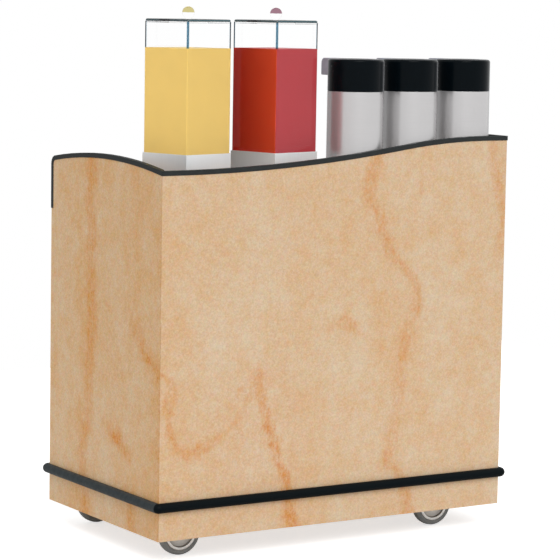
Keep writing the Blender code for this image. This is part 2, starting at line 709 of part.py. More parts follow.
def airpot_head():
    """A hollow cap with a plug below, a well for the button and a spout. The origin is its rim's middle."""
    well = BUTTON_RADIUS + PLAY
    well_floor = HEAD_HEIGHT - BUTTON_HEIGHT - BUTTON_STROKE - PLAY
    plug = AIRPOT_MOUTH_RADIUS - PLAY
    shoulder = arc((AIRPOT_TOP_RADIUS - HEAD_FILLET, HEAD_HEIGHT - HEAD_FILLET), HEAD_FILLET, 0, 90, 4)
    ceiling = well_floor - HEAD_WALL
    throat = plug - HEAD_WALL
    cap = turned(
        [(0, ceiling), (throat, ceiling), (throat, -HEAD_PLUG_DEPTH), (plug, -HEAD_PLUG_DEPTH), (plug, 0)]
        + [(AIRPOT_TOP_RADIUS, 0)] + shoulder
        + [(well, HEAD_HEIGHT), (well, well_floor), (0, well_floor)]
    )
    top = HEAD_HEIGHT - FIT
    low = top - SPOUT_DEPTH
    inner = (BUTTON_RADIUS + AIRPOT_TOP_RADIUS) / 2
    nose = arc((SPOUT_REACH - SPOUT_ROUND, top - SPOUT_ROUND), SPOUT_ROUND, 90, 0, 4)
    spout = prism(
        [(inner, low), (inner, top)] + nose + [(SPOUT_REACH, low)], 0, -SPOUT_WIDTH / 2, SPOUT_WIDTH / 2
    )
    outlet_at = (0, SPOUT_REACH - 2.5 * SPOUT_BORE_RADIUS, low)
    outlet = rod(SPOUT_BORE_RADIUS, -SPOUT_BORE_RADIUS, SPOUT_DEPTH / 2, 2, outlet_at)
    return smoothed(worked(cap, [("UNION", spout), ("DIFFERENCE", outlet)]))


def airpot_button():
    """A push plate with an eased edge. The origin is the middle of its underside."""
    return turned([
        (0, 0), (BUTTON_RADIUS, 0), (BUTTON_RADIUS, BUTTON_HEIGHT - AIRPOT_EASE),
        (BUTTON_RADIUS - AIRPOT_EASE, BUTTON_HEIGHT), (0, BUTTON_HEIGHT),
    ])


def build_airpots(cart, steel, black, dark):
    foot, vessel, head, button = airpot_foot(), airpot_vessel(), airpot_head(), airpot_button()
    for i in range(AIRPOT_COUNT):
        name = f"airpot_{i + 1}"
        x = FIRST_AIRPOT_X + i * AIRPOT_SPACING
        stand = empty(name, (x, INNER_FRONT_Y + AIRPOT_INSET, DECK_HEIGHT))
        stand.parent = cart
        place(name + "_foot", foot, black, stand)
        place(name + "_vessel", vessel, steel, stand)
        place(name + "_head", head, black, stand, (0, 0, HEAD_BOTTOM))
        place(name + "_button", button, dark, stand, (0, 0, AIRPOT_HEIGHT - BUTTON_HEIGHT))


def build_body(cart):
    maple = finish("maple_laminate", (0.68, 0.46, 0.27), 0.5)
    inside = finish("shelf_laminate", (0.62, 0.44, 0.28), 0.55)
    vinyl = finish("black_trim", (0.03, 0.035, 0.035), 0.5)
    rubber = finish("bumper_vinyl", (0.012, 0.014, 0.016), 0.35)
    steel = finish("deck_steel", (0.60, 0.60, 0.61), 0.35, 1.0)
    place("front_panel", front_panel(), maple, cart)
    place("left_end_panel", end_panel(-1, LOW_TOP, ARCH_RISE), maple, cart)
    place("right_end_panel", end_panel(1, HIGH_TOP, 0), maple, cart)
    place("front_trim", front_trim(), vinyl, cart)
    place("left_end_trim", end_trim(-1, LOW_TOP, ARCH_RISE), vinyl, cart)
    place("right_end_trim", end_trim(1, HIGH_TOP, 0), vinyl, cart)
    place("deck_sheet", deck_sheet(), steel, cart)
    place("deck_board", deck_board(), inside, cart)
    place("mid_shelf", shelf(MID_SHELF_HEIGHT, REAR_EDGE - MID_SHELF_SETBACK), inside, cart)
    place("base_shelf", shelf(base_shelf_top(), HALF_WIDTH - PANEL_THICKNESS - FIT), inside, cart)
    place("rear_skirt", rear_skirt(), maple, cart)
    place("bumper", bumper(), rubber, cart)


def main():
    clear_scene()
    cart = empty("cart", (0, 0, 0))
    zinc = finish("zinc_steel", (0.55, 0.56, 0.57), 0.35, 1.0)
    brushed = finish("brushed_steel", (0.62, 0.62, 0.63), 0.3, 1.0)
    chrome = finish("chrome", (0.75, 0.75, 0.76), 0.08, 1.0)
    clear = finish("clear_acrylic", (0.85, 0.93, 0.96), 0.03, alpha=0.35, transmission=0.9)
    black = finish("black_plastic", (0.012, 0.014, 0.016), 0.25)
    dark = finish("button_plastic", (0.03, 0.032, 0.035), 0.35)
    core = finish("wheel_core", (0.45, 0.43, 0.40), 0.5)
    grey_rubber = finish("grey_rubber", (0.13, 0.135, 0.13), 0.6)
    juices = {
        "left": finish("orange_juice", (0.80, 0.55, 0.16), 0.3),
        "right": finish("red_juice", (0.40, 0.04, 0.05), 0.3),
    }
    build_body(cart)
    build_casters(cart, zinc, core, grey_rubber)
    build_dispensers(cart, brushed, clear, black, chrome, juices)
    build_airpots(cart, brushed, black, dark)


main()
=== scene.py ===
"""Looks for the beverage cart: finer pieces, materials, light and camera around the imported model."""

import json
import math
from collections import namedtuple

import bmesh
import bpy
from mathutils import Matrix, Vector


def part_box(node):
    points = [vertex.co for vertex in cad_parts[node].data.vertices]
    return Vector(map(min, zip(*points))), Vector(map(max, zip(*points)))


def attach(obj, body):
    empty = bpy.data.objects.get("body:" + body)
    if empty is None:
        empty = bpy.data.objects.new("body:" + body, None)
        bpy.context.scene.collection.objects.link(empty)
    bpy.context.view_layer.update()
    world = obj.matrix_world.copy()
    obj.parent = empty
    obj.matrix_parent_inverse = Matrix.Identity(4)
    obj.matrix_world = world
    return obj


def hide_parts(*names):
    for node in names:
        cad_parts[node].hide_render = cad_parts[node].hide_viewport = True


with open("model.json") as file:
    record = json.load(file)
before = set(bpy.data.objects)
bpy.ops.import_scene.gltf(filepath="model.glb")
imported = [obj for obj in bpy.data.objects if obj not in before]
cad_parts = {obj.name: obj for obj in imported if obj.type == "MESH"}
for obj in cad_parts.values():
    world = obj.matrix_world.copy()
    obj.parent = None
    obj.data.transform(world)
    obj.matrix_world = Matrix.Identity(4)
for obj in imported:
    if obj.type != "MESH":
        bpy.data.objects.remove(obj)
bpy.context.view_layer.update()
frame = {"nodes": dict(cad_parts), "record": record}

CORNERS = ("front_left", "front_right", "rear_left", "rear_right")
SIDES = ("left", "right")
AIRPOTS = ("airpot_1", "airpot_2", "airpot_3")

BODY_OF = {node: body for body, nodes in frame["record"]["behaviour"]["bodies"].items() for node in nodes}
SLOT_OF = {part["node"]: part["material_slot"] for part in frame["record"]["subparts"]}


# Sizes that the pieces repeat from the solids, in metres
FIT = 0.0003  # a narrow gap between two pieces
PLAY = 0.0006  # a wider gap, where one piece moves against another
BUMPER_RADIUS = 0.0135
BUMPER_STANDOFF = 0.005  # of the bumper's round centre from the panel's face
BUMPER_REACH = BUMPER_STANDOFF + BUMPER_RADIUS
WHEEL_RADIUS = 0.062
TYRE_INNER_RADIUS = 0.048
TYRE_WIDTH = 0.030
HUB_RIM_THICKNESS = 0.0075
HUB_BOSS_RADIUS = 0.0138
HUB_HALF = 0.0185
HUB_BORE = 0.0046
DISPENSER_TURN = math.radians(15.0)
TANK_SIDE = 0.165
TANK_WALL = 0.003
FAUCET_HOLE = 0.0083
FAUCET_AXIS = 1.1265  # above the floor
LID_STEP = 0.004
KNOB_RADIUS = 0.0167
KNOB_FOOT = 0.008
AIRPOT_TOP_RADIUS = 0.0788
AIRPOT_MOUTH = 0.056
FOOT_WALL = 0.0045
BUTTON_RADIUS = 0.049
BUTTON_WELL_RADIUS = BUTTON_RADIUS + PLAY
BUTTON_WELL_DEPTH = 0.0426
SPOUT_REACH = 0.149  # from the airpot's axis
SPOUT_WIDTH = 0.040
SPOUT_DEPTH = 0.048
SPOUT_BORE = 0.006

# Sizes that only the looks need
SHARP_ANGLE = math.radians(35.0)  # edges that turn further stay sharp
EASED_ANGLE = math.radians(40.0)  # edges of a dressed piece that turn further are eased
FLAT_ANGLE = math.radians(0.5)  # facets that turn less are one face
TANK_CORNER = 0.003
DRINK_SIDE = TANK_SIDE - 0.0002
EDGE_TINT = 0.005  # how wide the painted edge lines are at a tank's corners
LID_CORNER = 0.006
LID_ROUNDING = 0.0035
LID_ROUNDING_STEPS = 6
KNOB_STEPS = 40
KNOB_EQUATOR = 0.0167  # how high the middle of the knob's ball is above its foot
SPOUT_ROUNDING = 0.013
SPOUT_DROP = 0.0003  # how far the spout's top is below the cap's

# How far a spout is drawn in at places across it, each a share of its half width
SPOUT_SIDES = ((-1.0, 0.0018), (-0.955, 0.0006), (-0.90, 0.0), (0.90, 0.0), (0.955, 0.0006), (1.0, 0.0018))


# Materials

# How squarely a face looks along an axis to begin, and to finish, counting as a side
SIDE_FROM, SIDE_TO = 0.6, 0.8
NOISE_REACH = 0.25  # how far noise strays from its middle, which is 0.5


class Look:
    """A material under construction: a Principled shader and the nodes that feed it."""

    def __init__(self, name, **values):
        self.material = bpy.data.materials.new(name)
        self.material.use_nodes = True
        self.tree = self.material.node_tree
        self.shader = self.tree.nodes["Principled BSDF"]
        for key, value in values.items():
            self.feed(key.replace("_", " "), value)
        self.place = self.add("TexCoord").outputs["Object"]

    def feed(self, socket, value):
        self.put(self.shader.inputs[socket], value)

    def put(self, socket, value):
        if isinstance(value, bpy.types.NodeSocket):
            self.tree.links.new(value, socket)
        elif isinstance(value, tuple) and len(value) == 3 and socket.type == "RGBA":
            socket.default_value = (*value, 1.0)
        else:
            socket.default_value = value

    def add(self, kind, sockets=None, **settings):
        node = self.tree.nodes.new("ShaderNode" + kind)
        for key, value in settings.items():
            setattr(node, key, value)
        for key, value in (sockets or {}).items():
            self.put(node.inputs[key], value)
        return node

    def math(self, operation, first, second=0.0):
        return self.add("Math", {0: first, 1: second}, operation=operation).outputs[0]

    def axis(self, letter):
        return self.add("SeparateXYZ", {0: self.place}).outputs[letter]

    def stretched(self, scale):
        return self.add("Mapping", {"Vector": self.place, "Scale": scale}).outputs[0]

    def noise(self, scale, detail=3.0, roughness=0.5, stretch=None):
        place = self.stretched(stretch) if stretch else self.place
        sockets = {"Vector": place, "Scale": scale, "Detail": detail, "Roughness": roughness}
        return self.add("TexNoise", sockets).outputs["Fac"]

    def span(self, value, low, high, to_low=0.0, to_high=1.0, smooth=False):
        sockets = {"Value": value, "From Min": low, "From Max": high, "To Min": to_low, "To Max": to_high}
        kind = "SMOOTHSTEP" if smooth else "LINEAR"
        return self.add("MapRange", sockets, interpolation_type=kind).outputs["Result"]

    def mix(self, factor, first, second, blend="MIX"):
        node = self.add("Mix", data_type="RGBA", blend_type=blend)
        self.put(node.inputs["Factor"], factor)
        self.put(node.inputs[6], first)
        self.put(node.inputs[7], second)
        return node.outputs[2]

    def facing(self, letter):
        """How far a surface faces along an axis, from -1 to 1."""
        return self.add("SeparateXYZ", {0: self.add("TexCoord").outputs["Normal"]}).outputs[letter]

    def on_left_end(self):
        return self.span(self.facing("X"), -SIDE_FROM, -SIDE_TO)

    def on_right_end(self):
        return self.span(self.facing("X"), SIDE_FROM, SIDE_TO)

    def on_both_sides(self, letter):
        """1 on the faces that look either way along an axis, 0 on the rest."""
        return self.span(self.math("ABSOLUTE", self.facing(letter)), SIDE_FROM, SIDE_TO)

    def swing(self, value):
        """A noise value as -1 to 1 about its middle."""
        return self.span(value, 0.5 - NOISE_REACH, 0.5 + NOISE_REACH, -1.0, 1.0)

    def shift(self, colour, amount, change):
        """A colour moved by an amount of a change, which is given as a colour difference."""
        sockets = {0: change, 1: amount, 2: colour}
        return self.add("VectorMath", sockets, operation="MULTIPLY_ADD").outputs[0]

    def bump(self, height, strength, distance):
        sockets = {"Height": height, "Strength": strength, "Distance": distance}
        self.feed("Normal", self.add("Bump", sockets).outputs[0])


def streak(look, along, across, points, wander):
    """How far off a grain streak a place is, and how strongly the streak shows there.

    The streak's course is given as (along, across, strength) points in order.
    """
    starts, places, strengths = zip(*points)
    low, high = starts[0], starts[-1]
    progress = look.span(along, low, high)

    def course(values):
        near, far = min(values), max(values)
        curve = look.add("FloatCurve", {"Value": progress})
        line = curve.mapping.curves[0]
        while len(line.points) < len(points):
            line.points.new(0.5, 0.5)
        for point, start, value in zip(line.points, starts, values):
            point.location = ((start - low) / (high - low), (value - near) / (far - near))
        curve.mapping.update()
        return look.span(curve.outputs[0], 0.0, 1.0, near, far)

    strayed = look.math("ADD", across, wander)
    offset = look.math("ABSOLUTE", look.math("SUBTRACT", strayed, course(places)))
    return offset, course(strengths)


# A streak's points are (height, place across, strength). A lying one has the first two the other way round.
Streak = namedtuple("Streak", "points half_width lying", defaults=(False,))

MAPLE = (0.714, 0.503, 0.316)
STREAK_CHANGE = (-0.023, -0.118, -0.125)  # of the maple's colour in the heart of a streak
STREAK_WANDER = 0.013
ALONG_GRAIN = (1.0, 1.0, 0.4)  # a stretch that draws noise out upwards


def streak_marks(look, across_axis, streaks):
    """How strongly a panel's streaks show at a place."""
    across, up = look.axis(across_axis), look.axis("Z")
    stray = look.noise(45.0, 4.0, 0.8, stretch=ALONG_GRAIN)
    wander = look.span(stray, 0.30, 0.70, -STREAK_WANDER, STREAK_WANDER)
    patches = look.span(look.noise(85.0, 3.0, 0.8, stretch=ALONG_GRAIN), 0.35, 0.60, 0.2, 1.15)
    marks = 0.0
    for points, half_width, lying in streaks:
        along, beside = (across, up) if lying else (up, across)
        offset, strength = streak(look, along, beside, points, wander)
        core = look.span(offset, 0.15 * half_width, 1.1 * half_width, 1.0, 0.0, smooth=True)
        halo = look.span(offset, 0.0, 2.2 * half_width, 0.2, 0.0, smooth=True)
        mark = look.math("ADD", look.math("MULTIPLY", core, patches), halo)
        marks = look.math("MAXIMUM", marks, look.math("MULTIPLY", mark, strength))
    return marks


def maple(name, across_axis=None, streaks=(), base=MAPLE, contrast=1.0):
    """Pale maple laminate: a fine grey grain, yellower patches, and on some panels soft orange streaks."""
    look = Look(name, Specular_IOR_Level=0.12)
    grain = look.noise(270.0, 1.0, 0.5)
    pink = look.noise(70.0, 3.0, 0.8)
    yellow = look.noise(87.0, 3.0, 0.8)
    mottle = look.noise(19.0, 5.0, 0.92)
    drift = look.noise(5.0, 2.0, 0.6, stretch=(1.0, 1.0, 0.6))
    changes = (
        (drift, (0.008, 0.042, 0.053)),
        (mottle, (0.017, 0.086, 0.110)),
        (pink, (0.035, -0.017, 0.004)),
        (yellow, (0.018, 0.025, -0.016)),
        (grain, (0.055, 0.051, 0.037)),
    )
    colour = base
    for value, change in changes:
        colour = look.shift(colour, look.swing(value), tuple(contrast * part for part in change))
    if streaks:
        colour = look.shift(colour, streak_marks(look, across_axis, streaks), STREAK_CHANGE)
    look.feed("Base Color", colour)
    look.feed("Roughness", look.span(mottle, 0.3, 0.7, 0.44, 0.54))
    look.bump(grain, 0.06, 0.0006)
    return look.material


def vinyl(name, colour, roughness, specular, grain):
    """Extruded vinyl with a fine pebble and slight scuffing."""
    look = Look(name, Specular_IOR_Level=specular)
    scuff = look.noise(60.0, 4.0, 0.6)
    pebble = look.noise(1500.0, 1.0, 0.5)
    lighter = tuple(1.5 * part + 0.004 for part in colour)
    look.feed("Base Color", look.mix(look.span(scuff, 0.45, 0.75, 0.0, 0.6), colour, lighter))
    look.feed("Roughness", look.span(scuff, 0.3, 0.7, roughness - 0.06, roughness + 0.08))
    look.bump(pebble, grain, 0.0004)
    return look.material


# Stretches of a brushed metal's noise, which draw it out into lines
LINES_ALONG = (0.02, 1.0, 1.0)
LINES_UP = (1.0, 1.0, 0.02)
LINES_ROUND = (0.02, 0.02, 1.0)
NO_LINES = (1.0, 1.0, 1.0)


def brushed(name, colour, roughness, lines, metallic=1.0, depth=0.05, contrast=0.10, left_end_painted_shading=None):
    """Brushed metal, with fine lines along the direction that its stretch gives.

    Its left end can carry painted shade or painted light, by one share at its front and one at its rear.
    """
    look = Look(name, Metallic=metallic)
    fine = look.noise(900.0, 2.0, 0.5, stretch=lines)
    cloud = look.noise(9.0, 3.0, 0.5)
    darker = tuple((1.0 - contrast) * part for part in colour)
    tone = look.mix(look.span(fine, 0.35, 0.65, 0.0, 0.7), darker, colour)
    # Painted shade and light: the left end is darkened or lightened from front to rear, in place of the
    # shade and reflections of nearby parts.
    if left_end_painted_shading:
        along = look.add("SeparateXYZ", {0: look.add("TexCoord").outputs["Generated"]}).outputs["Y"]
        painted_shading = look.mix(1.0, tone, look.span(along, 0.0, 0.8, *left_end_painted_shading), "MULTIPLY")
        tone = look.mix(look.on_left_end(), tone, painted_shading)
    look.feed("Base Color", tone)
    varied = look.math("ADD", look.span(fine, 0.3, 0.7, -0.3, 0.3), look.span(cloud, 0.3, 0.7, -0.2, 0.2))
    look.feed("Roughness", look.math("ADD", look.math("MULTIPLY", varied, contrast), roughness))
    look.bump(fine, depth, 0.0002)
    return look.material


def plastic(name, colour, roughness, specular):
    """Moulded plastic with a faint texture and cloudy gloss."""
    look = Look(name, Specular_IOR_Level=specular)
    cloud = look.noise(45.0, 4.0, 0.6)
    texture = look.noise(2200.0, 1.0, 0.5)
    lighter = tuple(1.25 * part + 0.002 for part in colour)
    look.feed("Base Color", look.mix(look.span(cloud, 0.4, 0.75, 0.0, 0.5), colour, lighter))
    look.feed("Roughness", look.span(cloud, 0.3, 0.7, roughness - 0.03, roughness + 0.05))
    look.bump(texture, 0.02, 0.0003)
    return look.material


CLEAR = (1.0, 1.0, 1.0)
HAZE = (0.985, 0.995, 1.0)
# A painted blue for the tanks' corner lines, standing in for light seen along the acrylic's edges.
PAINTED_CORNER_LINE = (0.085, 0.20, 0.29)
# Painted colours for the lid's sawn edges, standing in for the light trapped inside them.
LID_FRONT_RIM = (0.064, 0.122, 0.140)
LID_END_RIM = (0.070, 0.100, 0.110)
LID_DARKEST_RIM = (0.014, 0.016, 0.020)
ACRYLIC_BENDING = 1.49
KNOB_BENDING = 1.10  # low, so that the clear half of the ball doesn't darken


def acrylic(name, bending=ACRYLIC_BENDING):
    """The start of a clear acrylic, which parts of a piece then tint."""
    look = Look(name, IOR=bending, Transmission_Weight=1.0, Specular_Tint=(0.2, 0.2, 0.2))
    look.feed("Roughness", look.span(look.noise(30.0, 2.0), 0.3, 0.7, 0.0, 0.012))
    return look


def edge_strip(look, letter):
    """1 within a short way of a tank's outside along an axis, 0 further in."""
    edge = TANK_SIDE / 2 - EDGE_TINT
    return look.span(look.math("ABSOLUTE", look.axis(letter)), edge - 0.0004, edge + 0.0004)


def tank_acrylic(name, drink_level):
    """Clear walls, with painted blue lines at the upright corners above the drink, apart from the hindmost
    one, standing in for light seen along the walls' edges.
    """
    look = acrylic(name)
    # Painted edge lines: the upright corners are coloured blue where light along the acrylic's edges would
    # show.
    corner = look.math("MULTIPLY", edge_strip(look, "X"), edge_strip(look, "Y"))
    back = look.math("ADD", look.axis("X"), look.axis("Y"))
    corner = look.math("MULTIPLY", corner, look.span(back, 0.3 * TANK_SIDE, 0.6 * TANK_SIDE, 1.0, 0.0))
    above = look.span(look.axis("Z"), drink_level - 0.001, drink_level)
    haze = look.span(look.noise(55.0, 3.0), 0.4, 0.8, 0.0, 0.25)
    walls = look.mix(haze, CLEAR, HAZE)
    look.feed("Base Color", look.mix(look.math("MULTIPLY", corner, above), walls, PAINTED_CORNER_LINE))
    return look.material


def lid_acrylic(name):
    """A clear plate with painted dark sawn edges, standing in for the light trapped inside them, the end
    ones painted darkest near their middle.
    """
    look = acrylic(name)
    ends = look.on_both_sides("X")
    front = look.on_both_sides("Y")
    off_middle = look.math("ABSOLUTE", look.math("SUBTRACT", look.axis("Y"), 0.007))
    darkest_stretch = look.span(off_middle, 0.012, 0.030, 1.0, 0.0, smooth=True)
    end_rim = look.mix(darkest_stretch, LID_END_RIM, LID_DARKEST_RIM)
    rim = look.mix(ends, LID_FRONT_RIM, end_rim)
    plate = look.span(look.axis("Z"), LID_STEP, LID_STEP + FIT)
    # Painted shade: the sawn edges are coloured dark and made opaque, in place of the light that the
    # acrylic traps at them.
    edge = look.math("MULTIPLY", look.math("MAXIMUM", ends, front), plate)
    look.feed("Base Color", look.mix(edge, CLEAR, rim))
    look.feed("Transmission Weight", look.span(edge, 0.0, 1.0, 1.0, 0.0))
    return look.material


def knob_acrylic(name, tint):
    """A clear ball whose upper half is tinted with a painted refraction of the drink below."""
    look = acrylic(name, KNOB_BENDING)
    swirl = look.span(look.noise(160.0, 2.0), 0.3, 0.7, -0.0004, 0.0004)
    # Painted refraction: the upper half takes the colour of the drink that a real ball would bend into
    # view.
    upper = look.span(look.math("ADD", look.axis("Z"), swirl), KNOB_EQUATOR, KNOB_EQUATOR + 0.0012)
    look.feed("Base Color", look.mix(upper, CLEAR, tint))
    return look.material


def drink(name, front, near, far, right):
    """Cloudy juice with painted light and shade: its ends take colours other than its front and rear, and
    the left one changes from near to far.
    """
    look = Look(name, Specular_IOR_Level=0.2, Roughness=0.4)
    cloud = look.noise(14.0, 3.0, 0.5)
    along = look.span(look.axis("Y"), -0.5 * DRINK_SIDE, 0.5 * DRINK_SIDE)
    # Painted light and shade: the ends take their own lighter or darker colours instead of the front's.
    colour = look.mix(look.on_right_end(), front, right)
    colour = look.mix(look.on_left_end(), colour, look.mix(along, near, far))
    deeper = look.span(cloud, 0.35, 0.7, 0.0, 0.03)
    look.feed("Base Color", look.mix(deeper, colour, (0.0, 0.0, 0.0)))
    return look.material


def cap_plastic(name, colour, tint):
    """Black moulded plastic with a soft sheen that turns it grey towards its outline."""
    look = Look(name, Specular_IOR_Level=0.06, Sheen_Weight=0.65, Sheen_Roughness=0.27, Sheen_Tint=tint)
    cloud = look.noise(45.0, 4.0, 0.6)
    lighter = tuple(1.25 * part for part in colour)
    look.feed("Base Color", look.mix(look.span(cloud, 0.4, 0.75), colour, lighter))
    look.feed("Roughness", look.span(cloud, 0.3, 0.7, 0.20, 0.28))
    look.bump(look.noise(2200.0, 1.0, 0.5), 0.02, 0.0003)
    return look.material


def rubber(name, colour):
    """Dusty grey rubber."""
    look = Look(name, Specular_IOR_Level=0.25)
    dust = look.noise(90.0, 4.0, 0.65)
    speck = look.noise(900.0, 2.0, 0.6)
    paler = tuple(1.2 * part + 0.01 for part in colour)
    look.feed("Base Color", look.mix(look.span(dust, 0.4, 0.75, 0.0, 0.8), colour, paler))
    look.feed("Roughness", look.span(speck, 0.3, 0.7, 0.58, 0.78))
    look.bump(speck, 0.10, 0.0005)
    return look.material


WHEEL_GRIME = (0.20, 0.19, 0.17)


def wheel_metal(name, rim, web, web_shaded_edge):
    """A wheel's core: a bright machined rim round a pressed web that is painted darker towards its edge, as
    shade in its dish.
    """
    look = Look(name, Roughness=0.34)
    off_axle = look.stretched((1.0, 0.0, 1.0))
    radius = look.add("VectorMath", {0: off_axle}, operation="LENGTH").outputs["Value"]
    edge = TYRE_INNER_RADIUS - HUB_RIM_THICKNESS
    on_rim = look.span(radius, edge - 0.0012, edge)
    grime = look.noise(70.0, 4.0, 0.6)
    # Painted shade: the web darkens towards the rim, where its dish is shaded.
    web_painted_shade = look.mix(look.span(radius, 0.020, 0.038), web, web_shaded_edge)
    colour = look.mix(on_rim, web_painted_shade, rim)
    look.feed("Base Color", look.mix(look.span(grime, 0.45, 0.8, 0.0, 0.25), colour, WHEEL_GRIME))
    look.feed("Metallic", look.span(on_rim, 0.0, 1.0, 0.55, 0.80))
    look.bump(look.noise(700.0, 2.0, 0.5), 0.05, 0.0003)
    return look.material


END_SHEEN_LEAD = 0.27  # where round a corner the painted sheen starts: the tangent of the angle from the end


def bumper_look(name, colour, ends, half_length, half_width):
    """Black vinyl, with a painted grey sheen along the two ends of the cart, broken up by scuffing."""
    look = Look(name, Specular_IOR_Level=0.05)
    scuff = look.noise(60.0, 4.0, 0.6)
    past_end = look.math("SUBTRACT", look.math("ABSOLUTE", look.axis("X")), half_length)
    past_side = look.math("SUBTRACT", look.math("ABSOLUTE", look.axis("Y")), half_width)
    lead = look.math("SUBTRACT", look.math("MULTIPLY", past_end, END_SHEEN_LEAD), past_side)
    # Painted sheen: the end runs are coloured grey in place of a reflection, with scuffs mixing some black
    # back in.
    end_sheen = look.mix(look.span(scuff, 0.35, 0.75, 0.0, 0.35), ends, colour)
    look.feed("Base Color", look.mix(look.span(lead, -0.0006, 0.0006), colour, end_sheen))
    look.feed("Roughness", look.span(scuff, 0.3, 0.7, 0.34, 0.46))
    look.bump(look.noise(1500.0, 1.0, 0.5), 0.03, 0.0004)
    return look.material


FRONT_STREAKS = [
    # The long one, right of the middle
    Streak([
        (-0.02, 0.250, 0.9), (0.08, 0.245, 0.9), (0.13, 0.239, 0.9), (0.19, 0.208, 0.8),
        (0.23, 0.179, 0.8), (0.275, 0.182, 0.75), (0.325, 0.191, 0.65), (0.44, 0.207, 0.6),
        (0.55, 0.221, 0.65), (0.63, 0.249, 0.7), (0.68, 0.264, 0.75), (0.72, 0.254, 0.75),
        (0.755, 0.232, 0.75), (0.78, 0.204, 0.8), (0.815, 0.169, 0.85), (0.85, 0.152, 0.88),
        (0.90, 0.135, 0.88), (0.95, 0.112, 0.75), (0.99, 0.098, 0.75), (1.03, 0.098, 0.75),
        (1.09, 0.120, 0.8), (1.16, 0.140, 0.8),
    ], 0.031),
    # The bow at the left: its left arm, its foot, its right arm and a spur
    Streak([
        (0.29, -0.515, 0.0), (0.32, -0.522, 0.7), (0.355, -0.531, 0.8), (0.395, -0.536, 0.8),
        (0.435, -0.534, 0.8), (0.475, -0.530, 0.7), (0.50, -0.538, 0.7), (0.515, -0.562, 0.6),
        (0.54, -0.600, 0.0),
    ], 0.022),
    Streak([
        (-0.545, 0.335, 0.0), (-0.525, 0.325, 0.5), (-0.50, 0.304, 0.85), (-0.47, 0.294, 0.85),
        (-0.43, 0.307, 0.8), (-0.40, 0.323, 0.7), (-0.36, 0.345, 0.5), (-0.33, 0.370, 0.0),
    ], 0.032, lying=True),
    Streak([
        (0.31, -0.400, 0.0), (0.335, -0.378, 0.6), (0.37, -0.331, 0.75), (0.40, -0.308, 0.75),
        (0.43, -0.290, 0.75), (0.455, -0.284, 0.75), (0.50, -0.276, 0.5), (0.53, -0.272, 0.0),
    ], 0.025),
    Streak([
        (-0.345, 0.425, 0.0), (-0.325, 0.450, 0.7), (-0.30, 0.468, 0.6), (-0.27, 0.490, 0.0),
    ], 0.022, lying=True),
    # The leg, left of the middle
    Streak([
        (-0.02, -0.125, 1.1), (0.08, -0.141, 1.1), (0.115, -0.153, 1.1), (0.185, -0.165, 1.2),
        (0.22, -0.172, 1.25), (0.255, -0.194, 1.25), (0.30, -0.202, 1.35), (0.34, -0.219, 1.35),
        (0.39, -0.236, 1.25), (0.435, -0.250, 1.15), (0.47, -0.258, 1.0), (0.505, -0.251, 0.75),
        (0.535, -0.247, 0.0),
    ], 0.028),
    # The upper right
    Streak([
        (0.78, 0.556, 0.0), (0.83, 0.557, 0.42), (0.91, 0.552, 0.68), (0.965, 0.541, 0.77),
        (1.01, 0.531, 0.77), (1.065, 0.520, 0.59), (1.15, 0.510, 0.42),
    ], 0.022),
    # A small arch near the middle
    Streak([
        (-0.05, 0.612, 0.0), (-0.02, 0.620, 0.44), (0.01, 0.628, 0.7), (0.035, 0.622, 0.79),
        (0.06, 0.605, 0.62), (0.09, 0.600, 0.0),
    ], 0.030, lying=True),
    # A short one near the top
    Streak([(0.96, 0.270, 0.0), (0.99, 0.269, 0.5), (1.03, 0.268, 0.5), (1.06, 0.267, 0.0)], 0.014),
    # A broad, faint darkening round the leg
    Streak([
        (0.10, -0.250, 0.0), (0.20, -0.275, 0.28), (0.30, -0.270, 0.36), (0.42, -0.255, 0.32),
        (0.50, -0.250, 0.2), (0.60, -0.250, 0.0),
    ], 0.19),
]
LEFT_END_STREAKS = [
    # The long one, behind the middle
    Streak([
        (-0.02, 0.105, 0.78), (0.095, 0.109, 0.78), (0.13, 0.109, 0.74), (0.195, 0.116, 0.74),
        (0.245, 0.114, 0.74), (0.29, 0.103, 0.78), (0.345, 0.088, 0.78), (0.405, 0.083, 0.78),
        (0.52, 0.076, 0.78), (0.575, 0.071, 0.87), (0.63, 0.066, 0.87), (0.69, 0.067, 0.87),
        (0.745, 0.074, 0.78), (0.80, 0.078, 0.87), (0.855, 0.070, 0.96), (0.90, 0.071, 0.96),
        (0.95, 0.083, 0.7), (1.005, 0.078, 0.87), (1.065, 0.070, 0.96), (1.14, 0.060, 0.96),
    ], 0.038),
    # One that climbs from the front edge
    Streak([
        (0.49, -0.360, 0.8), (0.515, -0.324, 0.8), (0.535, -0.288, 0.88), (0.56, -0.254, 0.88),
        (0.59, -0.218, 0.8), (0.615, -0.190, 0.72), (0.67, -0.170, 0.32), (0.76, -0.165, 0.0),
    ], 0.058),
    # A short, strong one below it
    Streak([
        (0.23, -0.165, 0.0), (0.26, -0.148, 0.5), (0.29, -0.110, 1.2), (0.305, -0.093, 1.4),
        (0.325, -0.075, 1.0), (0.345, -0.045, 0.5), (0.39, -0.030, 0.0),
    ], 0.052),
    # Short ones at the foot and at the top
    Streak([
        (-0.02, -0.185, 0.8), (0.075, -0.175, 0.8), (0.125, -0.165, 0.7), (0.175, -0.140, 0.4),
        (0.22, -0.120, 0.0),
    ], 0.034),
    Streak([(0.80, -0.150, 0.0), (0.95, -0.176, 0.35), (1.05, -0.175, 0.4), (1.12, -0.170, 0.4)], 0.040),
]
